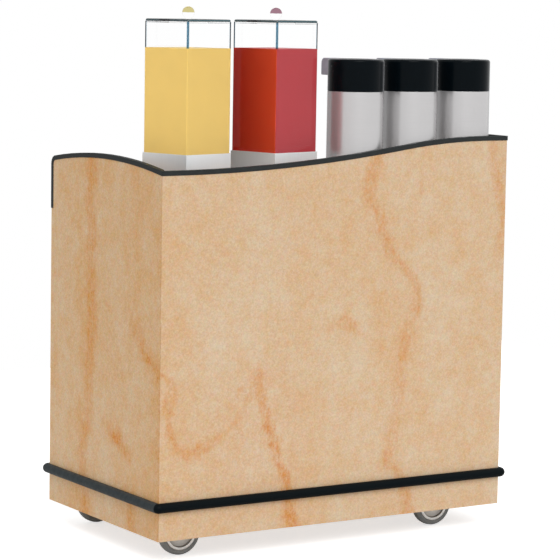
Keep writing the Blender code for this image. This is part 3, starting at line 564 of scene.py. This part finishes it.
RIGHT_END_STREAKS = [
    # A long one and a short one
    Streak([
        (-0.02, -0.140, 0.8), (0.14, -0.122, 0.7), (0.30, -0.090, 0.8), (0.47, -0.104, 0.6),
        (0.66, -0.072, 0.85), (0.84, -0.061, 0.7), (1.00, -0.088, 0.9), (1.16, -0.096, 0.9),
    ], 0.036),
    Streak([
        (0.36, 0.120, 0.0), (0.42, 0.148, 0.7), (0.50, 0.182, 0.9), (0.58, 0.196, 0.6),
        (0.70, 0.190, 0.0),
    ], 0.032),
]

LEFT_END_MAPLE = (0.749, 0.492, 0.274)
BASE_STEEL = {
    "colour": (0.965, 0.985, 0.995), "roughness": 0.38, "lines": LINES_UP,
    "metallic": 0.08, "depth": 0.03, "contrast": 0.05,
}
BLACK = (0.006, 0.007, 0.008)
# A lighter orange painted on the orange juice's ends, in place of the light they miss.
ORANGE_PAINTED_ENDS = (0.90, 0.66, 0.21)

# Looks by CAD node, by material slot, or by a name of their own
LOOKS = {
    "front_panel": maple("maple_front", "X", FRONT_STREAKS),
    "left_end_panel": maple("maple_left_end", "Y", LEFT_END_STREAKS, LEFT_END_MAPLE, contrast=1.2),
    "right_end_panel": maple("maple_right_end", "Y", RIGHT_END_STREAKS),
    "rear_skirt": maple("maple_skirt"),
    "shelf_laminate": maple("maple_shelf"),
    "black_trim": vinyl("trim_vinyl", (0.0155, 0.0185, 0.0185), roughness=0.50, specular=0.25, grain=0.05),
    "deck_steel": brushed("deck_steel", (0.60, 0.60, 0.61), 0.34, LINES_ALONG),
    # The bases' left ends get painted shade and light: the left one darker at its front, the right one
    # darkest at its rear, beside the other dispenser.
    "left_dispenser_base": brushed("left_base_steel", left_end_painted_shading=(0.74, 1.05), **BASE_STEEL),
    "right_dispenser_base": brushed("right_base_steel", left_end_painted_shading=(0.85, 0.45), **BASE_STEEL),
    "airpot_steel": brushed(
        "airpot_steel", (0.60, 0.59, 0.592), 0.24, LINES_ROUND, metallic=0.58, depth=0.02, contrast=0.04,
    ),
    "zinc_steel": brushed("zinc_steel", (0.55, 0.56, 0.57), 0.38, NO_LINES),
    "wheel_core": wheel_metal("wheel_core", (0.90, 0.89, 0.86), (0.74, 0.70, 0.64), (0.38, 0.36, 0.33)),
    "grey_rubber": rubber("grey_rubber", (0.275, 0.282, 0.275)),
    # The juices' ends are painted: the orange lighter than its front, the red lighter near the orange and
    # at its right end, and darker towards its rear.
    "orange_juice": drink("orange_juice", (0.79, 0.575, 0.178), near=ORANGE_PAINTED_ENDS, far=ORANGE_PAINTED_ENDS, right=ORANGE_PAINTED_ENDS),
    "red_juice": drink(
        "red_juice", (0.485, 0.054, 0.065),
        near=(0.67, 0.069, 0.020), far=(0.38, 0.006, 0.002), right=(0.80, 0.16, 0.17),
    ),
    "chrome": brushed("chrome", (0.75, 0.75, 0.76), 0.08, NO_LINES, depth=0.0, contrast=0.02),
    "black_plastic": plastic("lever_plastic", BLACK, roughness=0.30, specular=0.3),
    "foot_plastic": plastic("foot_plastic", BLACK, roughness=0.34, specular=0.3),
    "cap_plastic": cap_plastic("cap_plastic", (0.0012, 0.0032, 0.0048), tint=(0.95, 0.97, 1.0)),
    "spout_plastic": plastic("spout_plastic", (0.36, 0.37, 0.43), roughness=0.42, specular=0.2),
    "button_plastic": plastic("button_plastic", (0.020, 0.022, 0.024), roughness=0.38, specular=0.3),
}
# Painted refractions of each tank's drink, for the knobs' upper halves.
KNOB_PAINTED_REFRACTIONS = {"left": (0.66, 0.58, 0.27), "right": (0.36, 0.20, 0.25)}


# Shapes

def add_piece(name, mesh, look, node, location=(0, 0, 0), turn=0.0, extra=False):
    """Puts a mesh in the scene for a CAD node: it rides on the node's body and wears the given material."""
    piece = bpy.data.objects.new(name, mesh)
    bpy.context.scene.collection.objects.link(piece)
    piece.location = location
    piece.rotation_euler.z = turn
    mesh.materials.clear()
    mesh.materials.append(look)
    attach(piece, BODY_OF[node])
    if not extra:
        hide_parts(node)
    return piece


def look_for(node):
    return LOOKS.get(node) or LOOKS[SLOT_OF[node]]


def smooth_shading(mesh):
    """Shades a mesh as round, apart from its sharp edges."""
    mesh.shade_smooth()
    mesh.set_sharp_from_angle(angle=SHARP_ANGLE)


def to_mesh(name, shape):
    bmesh.ops.recalc_face_normals(shape, faces=shape.faces)
    mesh = bpy.data.meshes.new(name)
    shape.to_mesh(mesh)
    shape.free()
    smooth_shading(mesh)
    return mesh


def flatten_shading(piece):
    """Keeps flat faces flat beside rounded edges."""
    weighted = piece.modifiers.new("flat_faces", "WEIGHTED_NORMAL")
    weighted.keep_sharp = True
    weighted.weight = 100


def ease_edges(piece, width, segments):
    bevel = piece.modifiers.new("eased", "BEVEL")
    bevel.width = width
    bevel.segments = segments
    bevel.limit_method = "ANGLE"
    bevel.angle_limit = EASED_ANGLE
    flatten_shading(piece)


def joined_copy(node):
    """A CAD node's mesh with its facets joined into whole faces."""
    shape = bmesh.new()
    shape.from_mesh(frame["nodes"][node].data)
    bmesh.ops.remove_doubles(shape, verts=shape.verts, dist=1e-6)
    bmesh.ops.dissolve_limit(shape, angle_limit=FLAT_ANGLE, verts=shape.verts, edges=shape.edges)
    return to_mesh("dressed_" + node, shape)


def dress(node, width, segments=2):
    """A finer copy of a CAD node, with eased edges."""
    piece = add_piece("dressed_" + node, joined_copy(node), look_for(node), node)
    ease_edges(piece, width, segments)


def middle(node):
    low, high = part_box(node)
    return (low + high) / 2


def foot_middle(node):
    """The middle of a CAD node's underside."""
    at = middle(node)
    at.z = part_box(node)[0].z
    return at


def height(node):
    low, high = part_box(node)
    return high.z - low.z


def filleted(corners, steps):
    """An outline of (across, up, radius) corners, each rounded to its radius."""
    outline = []
    for i, (x, y, radius) in enumerate(corners):
        here = Vector((x, y))
        if radius == 0:
            outline.append((x, y))
            continue
        back = (Vector(corners[i - 1][:2]) - here).normalized()
        ahead = (Vector(corners[(i + 1) % len(corners)][:2]) - here).normalized()
        half = back.angle(ahead) / 2
        centre = here + (back + ahead).normalized() * (radius / math.sin(half))
        start = here + back * (radius / math.tan(half)) - centre
        end = here + ahead * (radius / math.tan(half)) - centre
        first = math.atan2(start.y, start.x)
        swing = (math.atan2(end.y, end.x) - first + math.pi) % (2 * math.pi) - math.pi
        for k in range(steps + 1):
            angle = first + swing * k / steps
            outline.append((centre.x + radius * math.cos(angle), centre.y + radius * math.sin(angle)))
    return outline


def mirrored(corners):
    """The corners of a profile's other half, which follow on from the first."""
    return [(across, -up, radius) for across, up, radius in reversed(corners)]


def turned(name, profile, steps):
    """A closed profile of (radius, up) points turned about Z. Points at radius 0 lie on the axis."""
    shape = bmesh.new()
    angles = [2 * math.pi * i / steps for i in range(steps)]
    rings = []
    for radius, up in profile:
        if radius == 0:
            rings.append([shape.verts.new((0, 0, up))] * steps)
            continue
        rings.append([shape.verts.new((radius * math.cos(a), radius * math.sin(a), up)) for a in angles])
    for near, far in zip(rings, rings[1:] + rings[:1]):
        for i in range(steps):
            j = (i + 1) % steps
            corners = list(dict.fromkeys((near[i], near[j], far[j], far[i])))
            if len(corners) > 2:
                shape.faces.new(corners)
    return to_mesh(name, shape)


def lofted(name, rings, closed=False):
    """A mesh through rings of points, with its two ends capped or joined to each other."""
    shape = bmesh.new()
    rows = [[shape.verts.new(point) for point in ring] for ring in rings]
    pairs = list(zip(rows, rows[1:]))
    if closed:
        pairs.append((rows[-1], rows[0]))
    for near, far in pairs:
        for i in range(len(near)):
            j = (i + 1) % len(near)
            shape.faces.new((near[i], near[j], far[j], far[i]))
    if not closed:
        shape.faces.new(rows[0])
        shape.faces.new(rows[-1])
    return to_mesh(name, shape)


def stacked(name, levels, steps=6):
    """A mesh through level rounded squares, each (side, corner radius, up)."""
    rings = []
    for side, radius, up in levels:
        ring = []
        for corner, (side_x, side_y) in enumerate(((1, 1), (-1, 1), (-1, -1), (1, -1))):
            x, y = side_x * (side / 2 - radius), side_y * (side / 2 - radius)
            for k in range(steps + 1):
                angle = math.pi / 2 * (corner + k / steps)
                ring.append((x + radius * math.cos(angle), y + radius * math.sin(angle), up))
        rings.append(ring)
    return lofted(name, rings)


def cut(mesh, tool):
    """A mesh with another taken out of it."""
    holders = []
    for part in (mesh, tool):
        holder = bpy.data.objects.new("helper", part)
        bpy.context.scene.collection.objects.link(holder)
        holders.append(holder)
    step = holders[0].modifiers.new("step", "BOOLEAN")
    step.operation = "DIFFERENCE"
    step.solver = "EXACT"
    step.object = holders[1]
    bpy.context.view_layer.update()
    evaluated = holders[0].evaluated_get(bpy.context.evaluated_depsgraph_get())
    result = bpy.data.meshes.new_from_object(evaluated)
    for holder in holders:
        bpy.data.objects.remove(holder)
    result.name = mesh.name
    smooth_shading(result)
    return result


# Cart body

def build_body():
    for node in ("front_panel", "left_end_panel", "right_end_panel", "rear_skirt"):
        dress(node, 0.0005)
    for node in ("front_trim", "left_end_trim", "right_end_trim"):
        dress(node, 0.0008, 3)
    for node in ("deck_board", "mid_shelf", "base_shelf"):
        dress(node, 0.0008)
    dress("deck_sheet", 0.0003)
    build_bumper()


BUMPER_BLACK = (0.003, 0.0055, 0.0070)
# A painted grey sheen for the bumper's end runs.
BUMPER_END_SHEEN = (0.046, 0.056, 0.060)
BUMPER_SECTION_STEPS = 24
BUMPER_CORNER_STEPS = 18


def build_bumper():
    """A D section carried round the cart, turning about each of the body's corners."""
    low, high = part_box("bumper")
    half_length = (high.x - low.x) / 2 - BUMPER_REACH
    half_width = (high.y - low.y) / 2 - BUMPER_REACH
    level = (low.z + high.z) / 2
    flat = math.acos((FIT - BUMPER_STANDOFF) / BUMPER_RADIUS)
    section = []
    for k in range(BUMPER_SECTION_STEPS + 1):
        angle = flat * (2 * k / BUMPER_SECTION_STEPS - 1)
        section.append((BUMPER_STANDOFF + BUMPER_RADIUS * math.cos(angle), BUMPER_RADIUS * math.sin(angle)))
    rings = []
    for corner, (side_x, side_y) in enumerate(((1, -1), (1, 1), (-1, 1), (-1, -1))):
        for k in range(BUMPER_CORNER_STEPS + 1):
            angle = math.pi / 2 * (corner - 1 + k / BUMPER_CORNER_STEPS)
            out_x, out_y = math.cos(angle), math.sin(angle)
            rings.append([
                (side_x * half_length + out * out_x, side_y * half_width + out * out_y, level + up)
                for out, up in section
            ])
    mesh = lofted("bumper_strip", rings, closed=True)
    look = bumper_look("bumper_vinyl", BUMPER_BLACK, BUMPER_END_SHEEN, half_length, half_width)
    flatten_shading(add_piece("bumper_strip", mesh, look, "bumper"))


# Casters

def tyre_profile():
    """A tyre with a slightly crowned tread and rounded shoulders."""
    half = TYRE_WIDTH / 2
    wall = WHEEL_RADIUS - TYRE_INNER_RADIUS
    side = [
        (WHEEL_RADIUS - 0.08 * wall, 0.68 * half, 0.0035),
        (WHEEL_RADIUS - 0.55 * wall, half, 0.0030),
        (TYRE_INNER_RADIUS, half - 0.0010, 0.0004),
    ]
    crown = (WHEEL_RADIUS, 0, 0.030)
    return filleted(mirrored(side) + [crown] + side, 5)


def hub_profile():
    """A hub with a rim under the tyre, a thin dished web and a boss round the axle."""
    rim = TYRE_INNER_RADIUS - FIT
    rim_half = TYRE_WIDTH / 2 - 0.0015
    inside = rim - HUB_RIM_THICKNESS
    side = [
        (rim, rim_half, 0.0008),
        (inside, rim_half, 0.0010),
        (inside - 0.0012, 0.0075, 0.0020),
        (HUB_BOSS_RADIUS + 0.0025, 0.0055, 0.0030),
        (HUB_BOSS_RADIUS, HUB_HALF, 0.0008),
        (HUB_BORE, HUB_HALF, 0.0005),
    ]
    return filleted(side + mirrored(side), 4)


def build_casters():
    wheel_parts = (("tyre", tyre_profile(), "grey_rubber"), ("wheel_hub", hub_profile(), "wheel_core"))
    lying = Matrix.Rotation(math.pi / 2, 4, "X")
    for corner in CORNERS:
        for part, profile, look in wheel_parts:
            node = f"{corner}_{part}"
            mesh = turned("turned_" + node, profile, 80)
            mesh.transform(lying)
            add_piece("turned_" + node, mesh, LOOKS[look], node, middle(node))
        dress(corner + "_caster_plate", 0.0007, 3)
        dress(corner + "_caster_fork", 0.0007, 3)
        dress(corner + "_axle", 0.0008, 3)


# Juice dispensers

def build_dispensers():
    for side in SIDES:
        dress(side + "_dispenser_base", 0.0007, 3)
        build_tank(side)
        build_juice(side)
        build_lid(side)
        build_knob(side)
        dress(side + "_faucet", 0.0005)
        dress(side + "_faucet_lever", 0.0012, 3)


def build_tank(side):
    """An open-topped box with rounded upright edges and a hole for the faucet."""
    node = side + "_tank"
    at = middle(node)
    top = height(node) / 2
    ease = 0.0006
    inner_corner = 0.0012
    outside, inside = TANK_SIDE, TANK_SIDE - 2 * TANK_WALL
    mesh = stacked("box_" + node, [
        (outside - 2 * ease, TANK_CORNER, -top),
        (outside, TANK_CORNER, -top + ease),
        (outside, TANK_CORNER, top - ease),
        (outside - 2 * ease, TANK_CORNER, top),
        (inside + 2 * ease, inner_corner, top),
        (inside, inner_corner, top - ease),
        (inside, inner_corner, -top + TANK_WALL),
    ])
    reach = 2 * TANK_WALL
    hole = turned("hole", [(0, -reach), (FAUCET_HOLE, -reach), (FAUCET_HOLE, reach), (0, reach)], 40)
    hole.transform(Matrix.Rotation(math.pi / 2, 4, "X"))
    hole.transform(Matrix.Translation((0, (outside - TANK_WALL) / 2, FAUCET_AXIS - at.z)))
    mesh = cut(mesh, hole)
    look = tank_acrylic(side + "_tank_acrylic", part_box(side + "_juice")[1].z - at.z)
    piece = add_piece("box_" + node, mesh, look, node, at, DISPENSER_TURN)
    piece.visible_shadow = False
    flatten_shading(piece)


def build_juice(side):
    """The drink, which wets the walls and so shows right out to them."""
    node = side + "_juice"
    top = height(node) / 2
    mesh = stacked("drink_" + node, [
        (DRINK_SIDE - 0.001, TANK_CORNER, -top),
        (DRINK_SIDE, TANK_CORNER, -top + 0.0005),
        (DRINK_SIDE, TANK_CORNER, top),
        (DRINK_SIDE - 0.0014, TANK_CORNER, top - 0.0004),
        (DRINK_SIDE - 0.0050, TANK_CORNER, top - 0.0010),
    ])
    piece = add_piece("drink_" + node, mesh, look_for(node), node, middle(node), DISPENSER_TURN)
    flatten_shading(piece)


def build_lid(side):
    """A flat lid with a rounded top edge and a step that drops inside the tank."""
    node = side + "_lid"
    step = TANK_SIDE - 2 * (TANK_WALL + PLAY)
    step_corner = 0.001
    plate = LID_STEP + FIT
    levels = [
        (step - 0.001, step_corner, 0),
        (step, step_corner, 0.0005),
        (step, step_corner, plate),
        (TANK_SIDE - 0.0012, LID_CORNER, plate),
        (TANK_SIDE, LID_CORNER, plate + 0.0006),
    ]
    for k in range(LID_ROUNDING_STEPS + 1):
        angle = math.pi / 2 * k / LID_ROUNDING_STEPS
        inset = LID_ROUNDING * (1 - math.cos(angle))
        drop = LID_ROUNDING * (1 - math.sin(angle))
        levels.append((TANK_SIDE - 2 * inset, LID_CORNER, height(node) - drop))
    mesh = stacked("cover_" + node, levels, 8)
    look = lid_acrylic(side + "_lid_acrylic")
    piece = add_piece("cover_" + node, mesh, look, node, foot_middle(node), DISPENSER_TURN)
    piece.visible_shadow = False
    flatten_shading(piece)


def build_knob(side):
    """A ball on a short neck, to lift the lid by."""
    node = side + "_lid_knob"
    rise = height(node) - KNOB_RADIUS
    start = -math.acos(KNOB_FOOT / KNOB_RADIUS)
    profile = [(0, 0), (KNOB_FOOT - 0.0004, 0), (KNOB_FOOT, 0.0004)]
    for k in range(KNOB_STEPS):
        angle = start + (math.pi / 2 - start) * k / KNOB_STEPS
        profile.append((KNOB_RADIUS * math.cos(angle), rise + KNOB_RADIUS * math.sin(angle)))
    profile.append((0, rise + KNOB_RADIUS))
    mesh = turned("ball_" + node, profile, 72)
    look = knob_acrylic(side + "_knob_acrylic", KNOB_PAINTED_REFRACTIONS[side])
    piece = add_piece("ball_" + node, mesh, look, node, foot_middle(node))
    piece.visible_shadow = False


# Airpots

def build_airpots():
    for pot in AIRPOTS:
        centre = middle(pot + "_vessel")
        build_foot(pot, centre)
        build_vessel(pot, centre)
        build_cap(pot, centre)
        build_spout(pot, centre)
        build_button(pot, centre)


def build_foot(pot, centre):
    """A shallow cup with a groove round it."""
    low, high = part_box(pot + "_foot")
    radius, tall = (high.x - low.x) / 2, high.z - low.z
    inside = radius - FOOT_WALL
    groove = radius - 0.0007
    floor_under, floor_top = 0.0012, 0.0037
    profile = filleted([
        (0, floor_under, 0),
        (inside - 0.006, floor_under, 0.0008),
        (inside - 0.004, 0, 0.0008),
        (radius, 0, 0.0025),
        (radius, 0.55 * tall, 0.0003),
        (groove, 0.58 * tall, 0.0003),
        (groove, 0.64 * tall, 0.0003),
        (radius, 0.67 * tall, 0.0003),
        (radius, tall, 0.0010),
        (inside, tall, 0.0005),
        (inside, floor_top, 0.0005),
        (0, floor_top, 0),
    ], 3)
    mesh = turned("foot_" + pot, profile, 112)
    add_piece("foot_" + pot, mesh, LOOKS["foot_plastic"], pot + "_foot", (centre.x, centre.y, low.z))


def build_vessel(pot, centre):
    """The tapered steel body, with a rolled bead at its foot and a narrower mouth."""
    low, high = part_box(pot + "_vessel")
    foot_low, foot_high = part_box(pot + "_foot")
    wide, narrow = (foot_high.x - foot_low.x) / 2, AIRPOT_TOP_RADIUS
    base, top = foot_high.z + FIT - low.z, high.z - low.z
    stub = wide - FOOT_WALL - FIT
    inside = stub - 0.0055
    floor = 0.0035
    profile = filleted([
        (0, 0, 0),
        (stub, 0, 0.0010),
        (stub, base, 0),
        (wide - 0.0006, base, 0.0006),
        (wide, base + 0.0022, 0.0010),
        (wide, base + 0.0045, 0.0008),
        (wide - 0.0006, base + 0.0058, 0.0006),
        (narrow, top, 0.0004),
        (AIRPOT_MOUTH, top, 0.0010),
        (AIRPOT_MOUTH, top - 0.0035, 0.0010),
        (inside, top - 0.0120, 0.0030),
        (inside, floor, 0.0060),
        (0, floor, 0),
    ], 4)
    mesh = turned("body_" + pot, profile, 128)
    add_piece("body_" + pot, mesh, LOOKS["airpot_steel"], pot + "_vessel", (centre.x, centre.y, low.z))


def cap_levels(pot):
    """The height at which a cap meets its vessel, and its lowest and highest points above that."""
    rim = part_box(pot + "_vessel")[1].z + PLAY
    low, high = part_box(pot + "_head")
    return rim, low.z - rim, high.z - rim


def build_cap(pot, centre):
    """The pump cap: a rounded top with a well for the button and a hollow plug below."""
    rim, plug_low, top = cap_levels(pot)
    radius = AIRPOT_TOP_RADIUS
    well_floor = top - BUTTON_WELL_DEPTH
    plug = AIRPOT_MOUTH - PLAY
    throat = plug - 0.004
    profile = filleted([
        (0, well_floor - 0.004, 0),
        (throat, well_floor - 0.004, 0.0010),
        (throat, plug_low, 0.0008),
        (plug, plug_low, 0.0015),
        (plug, 0, 0.0005),
        (radius - 0.0005, 0, 0.0004),
        (radius, 0.0012, 0.0006),
        (radius, top, 0.0080),
        (BUTTON_WELL_RADIUS, top, 0.0012),
        (BUTTON_WELL_RADIUS, well_floor, 0.0010),
        (0, well_floor, 0),
    ], 6)
    mesh = turned("cap_" + pot, profile, 112)
    piece = add_piece("cap_" + pot, mesh, LOOKS["cap_plastic"], pot + "_head", (centre.x, centre.y, rim))
    flatten_shading(piece)


def build_spout(pot, centre):
    """The spout, which runs back out of the cap's wall, with rounded sides and an outlet below."""
    rim, _, cap_top = cap_levels(pot)
    top = cap_top - SPOUT_DROP
    low = top - SPOUT_DEPTH
    root = (BUTTON_WELL_RADIUS + AIRPOT_TOP_RADIUS) / 2
    outline = filleted([
        (root, low, 0),
        (root, top, 0),
        (SPOUT_REACH, top, SPOUT_ROUNDING),
        (SPOUT_REACH, low, 0.0020),
        (SPOUT_REACH - 0.030, low, 0.0020),
        (SPOUT_REACH - 0.034, low + 0.0010, 0.0020),
    ], 5)
    middle_y, middle_z = (root + SPOUT_REACH) / 2, (low + top) / 2
    rings = []
    for share, shrink in SPOUT_SIDES:
        ring = []
        for y, z in outline:
            pull_y = shrink if y > middle_y else 0.0
            pull_z = math.copysign(shrink, z - middle_z)
            ring.append((share * SPOUT_WIDTH / 2, y - pull_y, z - pull_z))
        rings.append(ring)
    mesh = lofted("spout_" + pot, rings)
    outlet = turned("outlet", [(0, -0.02), (SPOUT_BORE, -0.02), (SPOUT_BORE, 0.024), (0, 0.024)], 32)
    outlet.transform(Matrix.Translation((0, SPOUT_REACH - 2.5 * SPOUT_BORE, low)))
    mesh = cut(mesh, outlet)
    at = (centre.x, centre.y, rim)
    piece = add_piece("spout_" + pot, mesh, LOOKS["spout_plastic"], pot + "_head", at, extra=True)
    flatten_shading(piece)


def build_button(pot, centre):
    """The push plate: a dished disc with a ring groove."""
    low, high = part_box(pot + "_button")
    tall = high.z - low.z
    radius = BUTTON_RADIUS
    dish = tall - 0.0024
    profile = filleted([
        (0, 0, 0),
        (radius, 0, 0.0005),
        (radius, tall, 0.0022),
        (radius - 0.0060, tall, 0.0010),
        (radius - 0.0075, tall - 0.0012, 0.0006),
        (radius - 0.0090, tall - 0.0004, 0.0010),
        (0.012, dish, 0.010),
        (0, dish, 0),
    ], 4)
    mesh = turned("push_" + pot, profile, 96)
    add_piece("push_" + pot, mesh, look_for(pot + "_button"), pot + "_button", (centre.x, centre.y, low.z))


build_body()
build_casters()
build_dispensers()
build_airpots()


# Stage

MATT_LIGHT = 0.62  # of the surroundings, on matt surfaces
REAR_GREY = 0.48  # of the surroundings behind the cart, in shiny surfaces
FLOOR_GLOW = 0.64
FLOOR_HALF = 3.0
KEY_STRENGTH = 1.2
KEY_SPREAD = math.radians(35.0)
KEY_PLACE = (-1.2, -4.0, 4.2)
KEY_TARGET = (0.0, 0.0, 0.6)
CAMERA_PLACE = (-3.7079, -5.9316, 1.4987)
CAMERA_YAW, CAMERA_PITCH, CAMERA_ROLL = 0.55964, 0.112103, 0.016504
FOCAL_LENGTH = 2449.75  # in pixels, as the width is
PICTURE_WIDTH = 560
SENSOR_WIDTH = 36.0


def build_world():
    """White to the camera and through clear walls, dimmer to matt surfaces, greyer behind to shiny ones."""
    world = bpy.data.worlds.new("studio")
    bpy.context.scene.world = world
    world.use_nodes = True
    tree = world.node_tree

    def add(kind, *values, **settings):
        node = tree.nodes.new("ShaderNode" + kind)
        for key, value in settings.items():
            setattr(node, key, value)
        for socket, value in zip(node.inputs, values):
            if isinstance(value, bpy.types.NodeSocket):
                tree.links.new(value, socket)
            else:
                socket.default_value = value
        return node.outputs

    path = add("LightPath")
    away = add("SeparateXYZ", add("TexCoord")["Generated"])["Y"]
    shiny = add("MapRange", away, 0.15, 0.80, 1.0, REAR_GREY, interpolation_type="SMOOTHSTEP")[0]
    level = add("MapRange", path["Is Glossy Ray"], 0.0, 1.0, MATT_LIGHT, shiny)[0]
    seen = add("Math", path["Is Camera Ray"], path["Is Transmission Ray"], operation="MAXIMUM")[0]
    level = add("MapRange", seen, 0.0, 1.0, level, 1.0)[0]
    background = tree.nodes["Background"]
    background.inputs["Color"].default_value = (1.0, 1.0, 1.0, 1.0)
    tree.links.new(level, background.inputs["Strength"])


def build_floor():
    """A pale floor that glows just enough to look white."""
    look = Look("floor", Base_Color=(0.90, 0.90, 0.90), Roughness=0.9, Specular_IOR_Level=0.0)
    path = look.add("LightPath").outputs
    seen = look.math("MAXIMUM", path["Is Camera Ray"], path["Is Transmission Ray"])
    look.feed("Emission Color", (1.0, 1.0, 1.0))
    look.feed("Emission Strength", look.math("MULTIPLY", seen, FLOOR_GLOW))
    shape = bmesh.new()
    bmesh.ops.create_grid(shape, x_segments=4, y_segments=4, size=FLOOR_HALF)
    mesh = bpy.data.meshes.new("floor")
    shape.to_mesh(mesh)
    shape.free()
    mesh.materials.append(look.material)
    floor = bpy.data.objects.new("floor", mesh)
    bpy.context.scene.collection.objects.link(floor)


def build_lamps():
    """A broad sun from above the front."""
    key = bpy.data.lights.new("key", "SUN")
    key.energy = KEY_STRENGTH
    key.angle = KEY_SPREAD
    lamp = bpy.data.objects.new("key", key)
    bpy.context.scene.collection.objects.link(lamp)
    lamp.location = KEY_PLACE
    lamp.rotation_euler = (Vector(KEY_TARGET) - Vector(KEY_PLACE)).to_track_quat("-Z", "Y").to_euler()


def build_camera():
    """The photo's camera. Its yaw is to the right, its pitch down, and its roll lifts its right side."""
    yaw, pitch, roll = CAMERA_YAW, CAMERA_PITCH, CAMERA_ROLL
    data = bpy.data.cameras.new("camera")
    data.sensor_fit = "HORIZONTAL"
    data.sensor_width = SENSOR_WIDTH
    data.lens = FOCAL_LENGTH / PICTURE_WIDTH * SENSOR_WIDTH
    camera = bpy.data.objects.new("camera", data)
    bpy.context.scene.collection.objects.link(camera)
    right = Vector((math.cos(yaw), -math.sin(yaw), 0))
    forward = Vector((math.sin(yaw) * math.cos(pitch), math.cos(yaw) * math.cos(pitch), -math.sin(pitch)))
    up = right.cross(forward)
    rolled_right = math.cos(roll) * right + math.sin(roll) * up
    rolled_up = math.cos(roll) * up - math.sin(roll) * right
    turn = Matrix((rolled_right, rolled_up, -forward)).transposed().to_4x4()
    camera.matrix_world = Matrix.Translation(CAMERA_PLACE) @ turn
    bpy.context.scene.camera = camera


build_world()
build_floor()
build_lamps()
build_camera()
bpy.context.scene.view_settings.view_transform = "Standard"
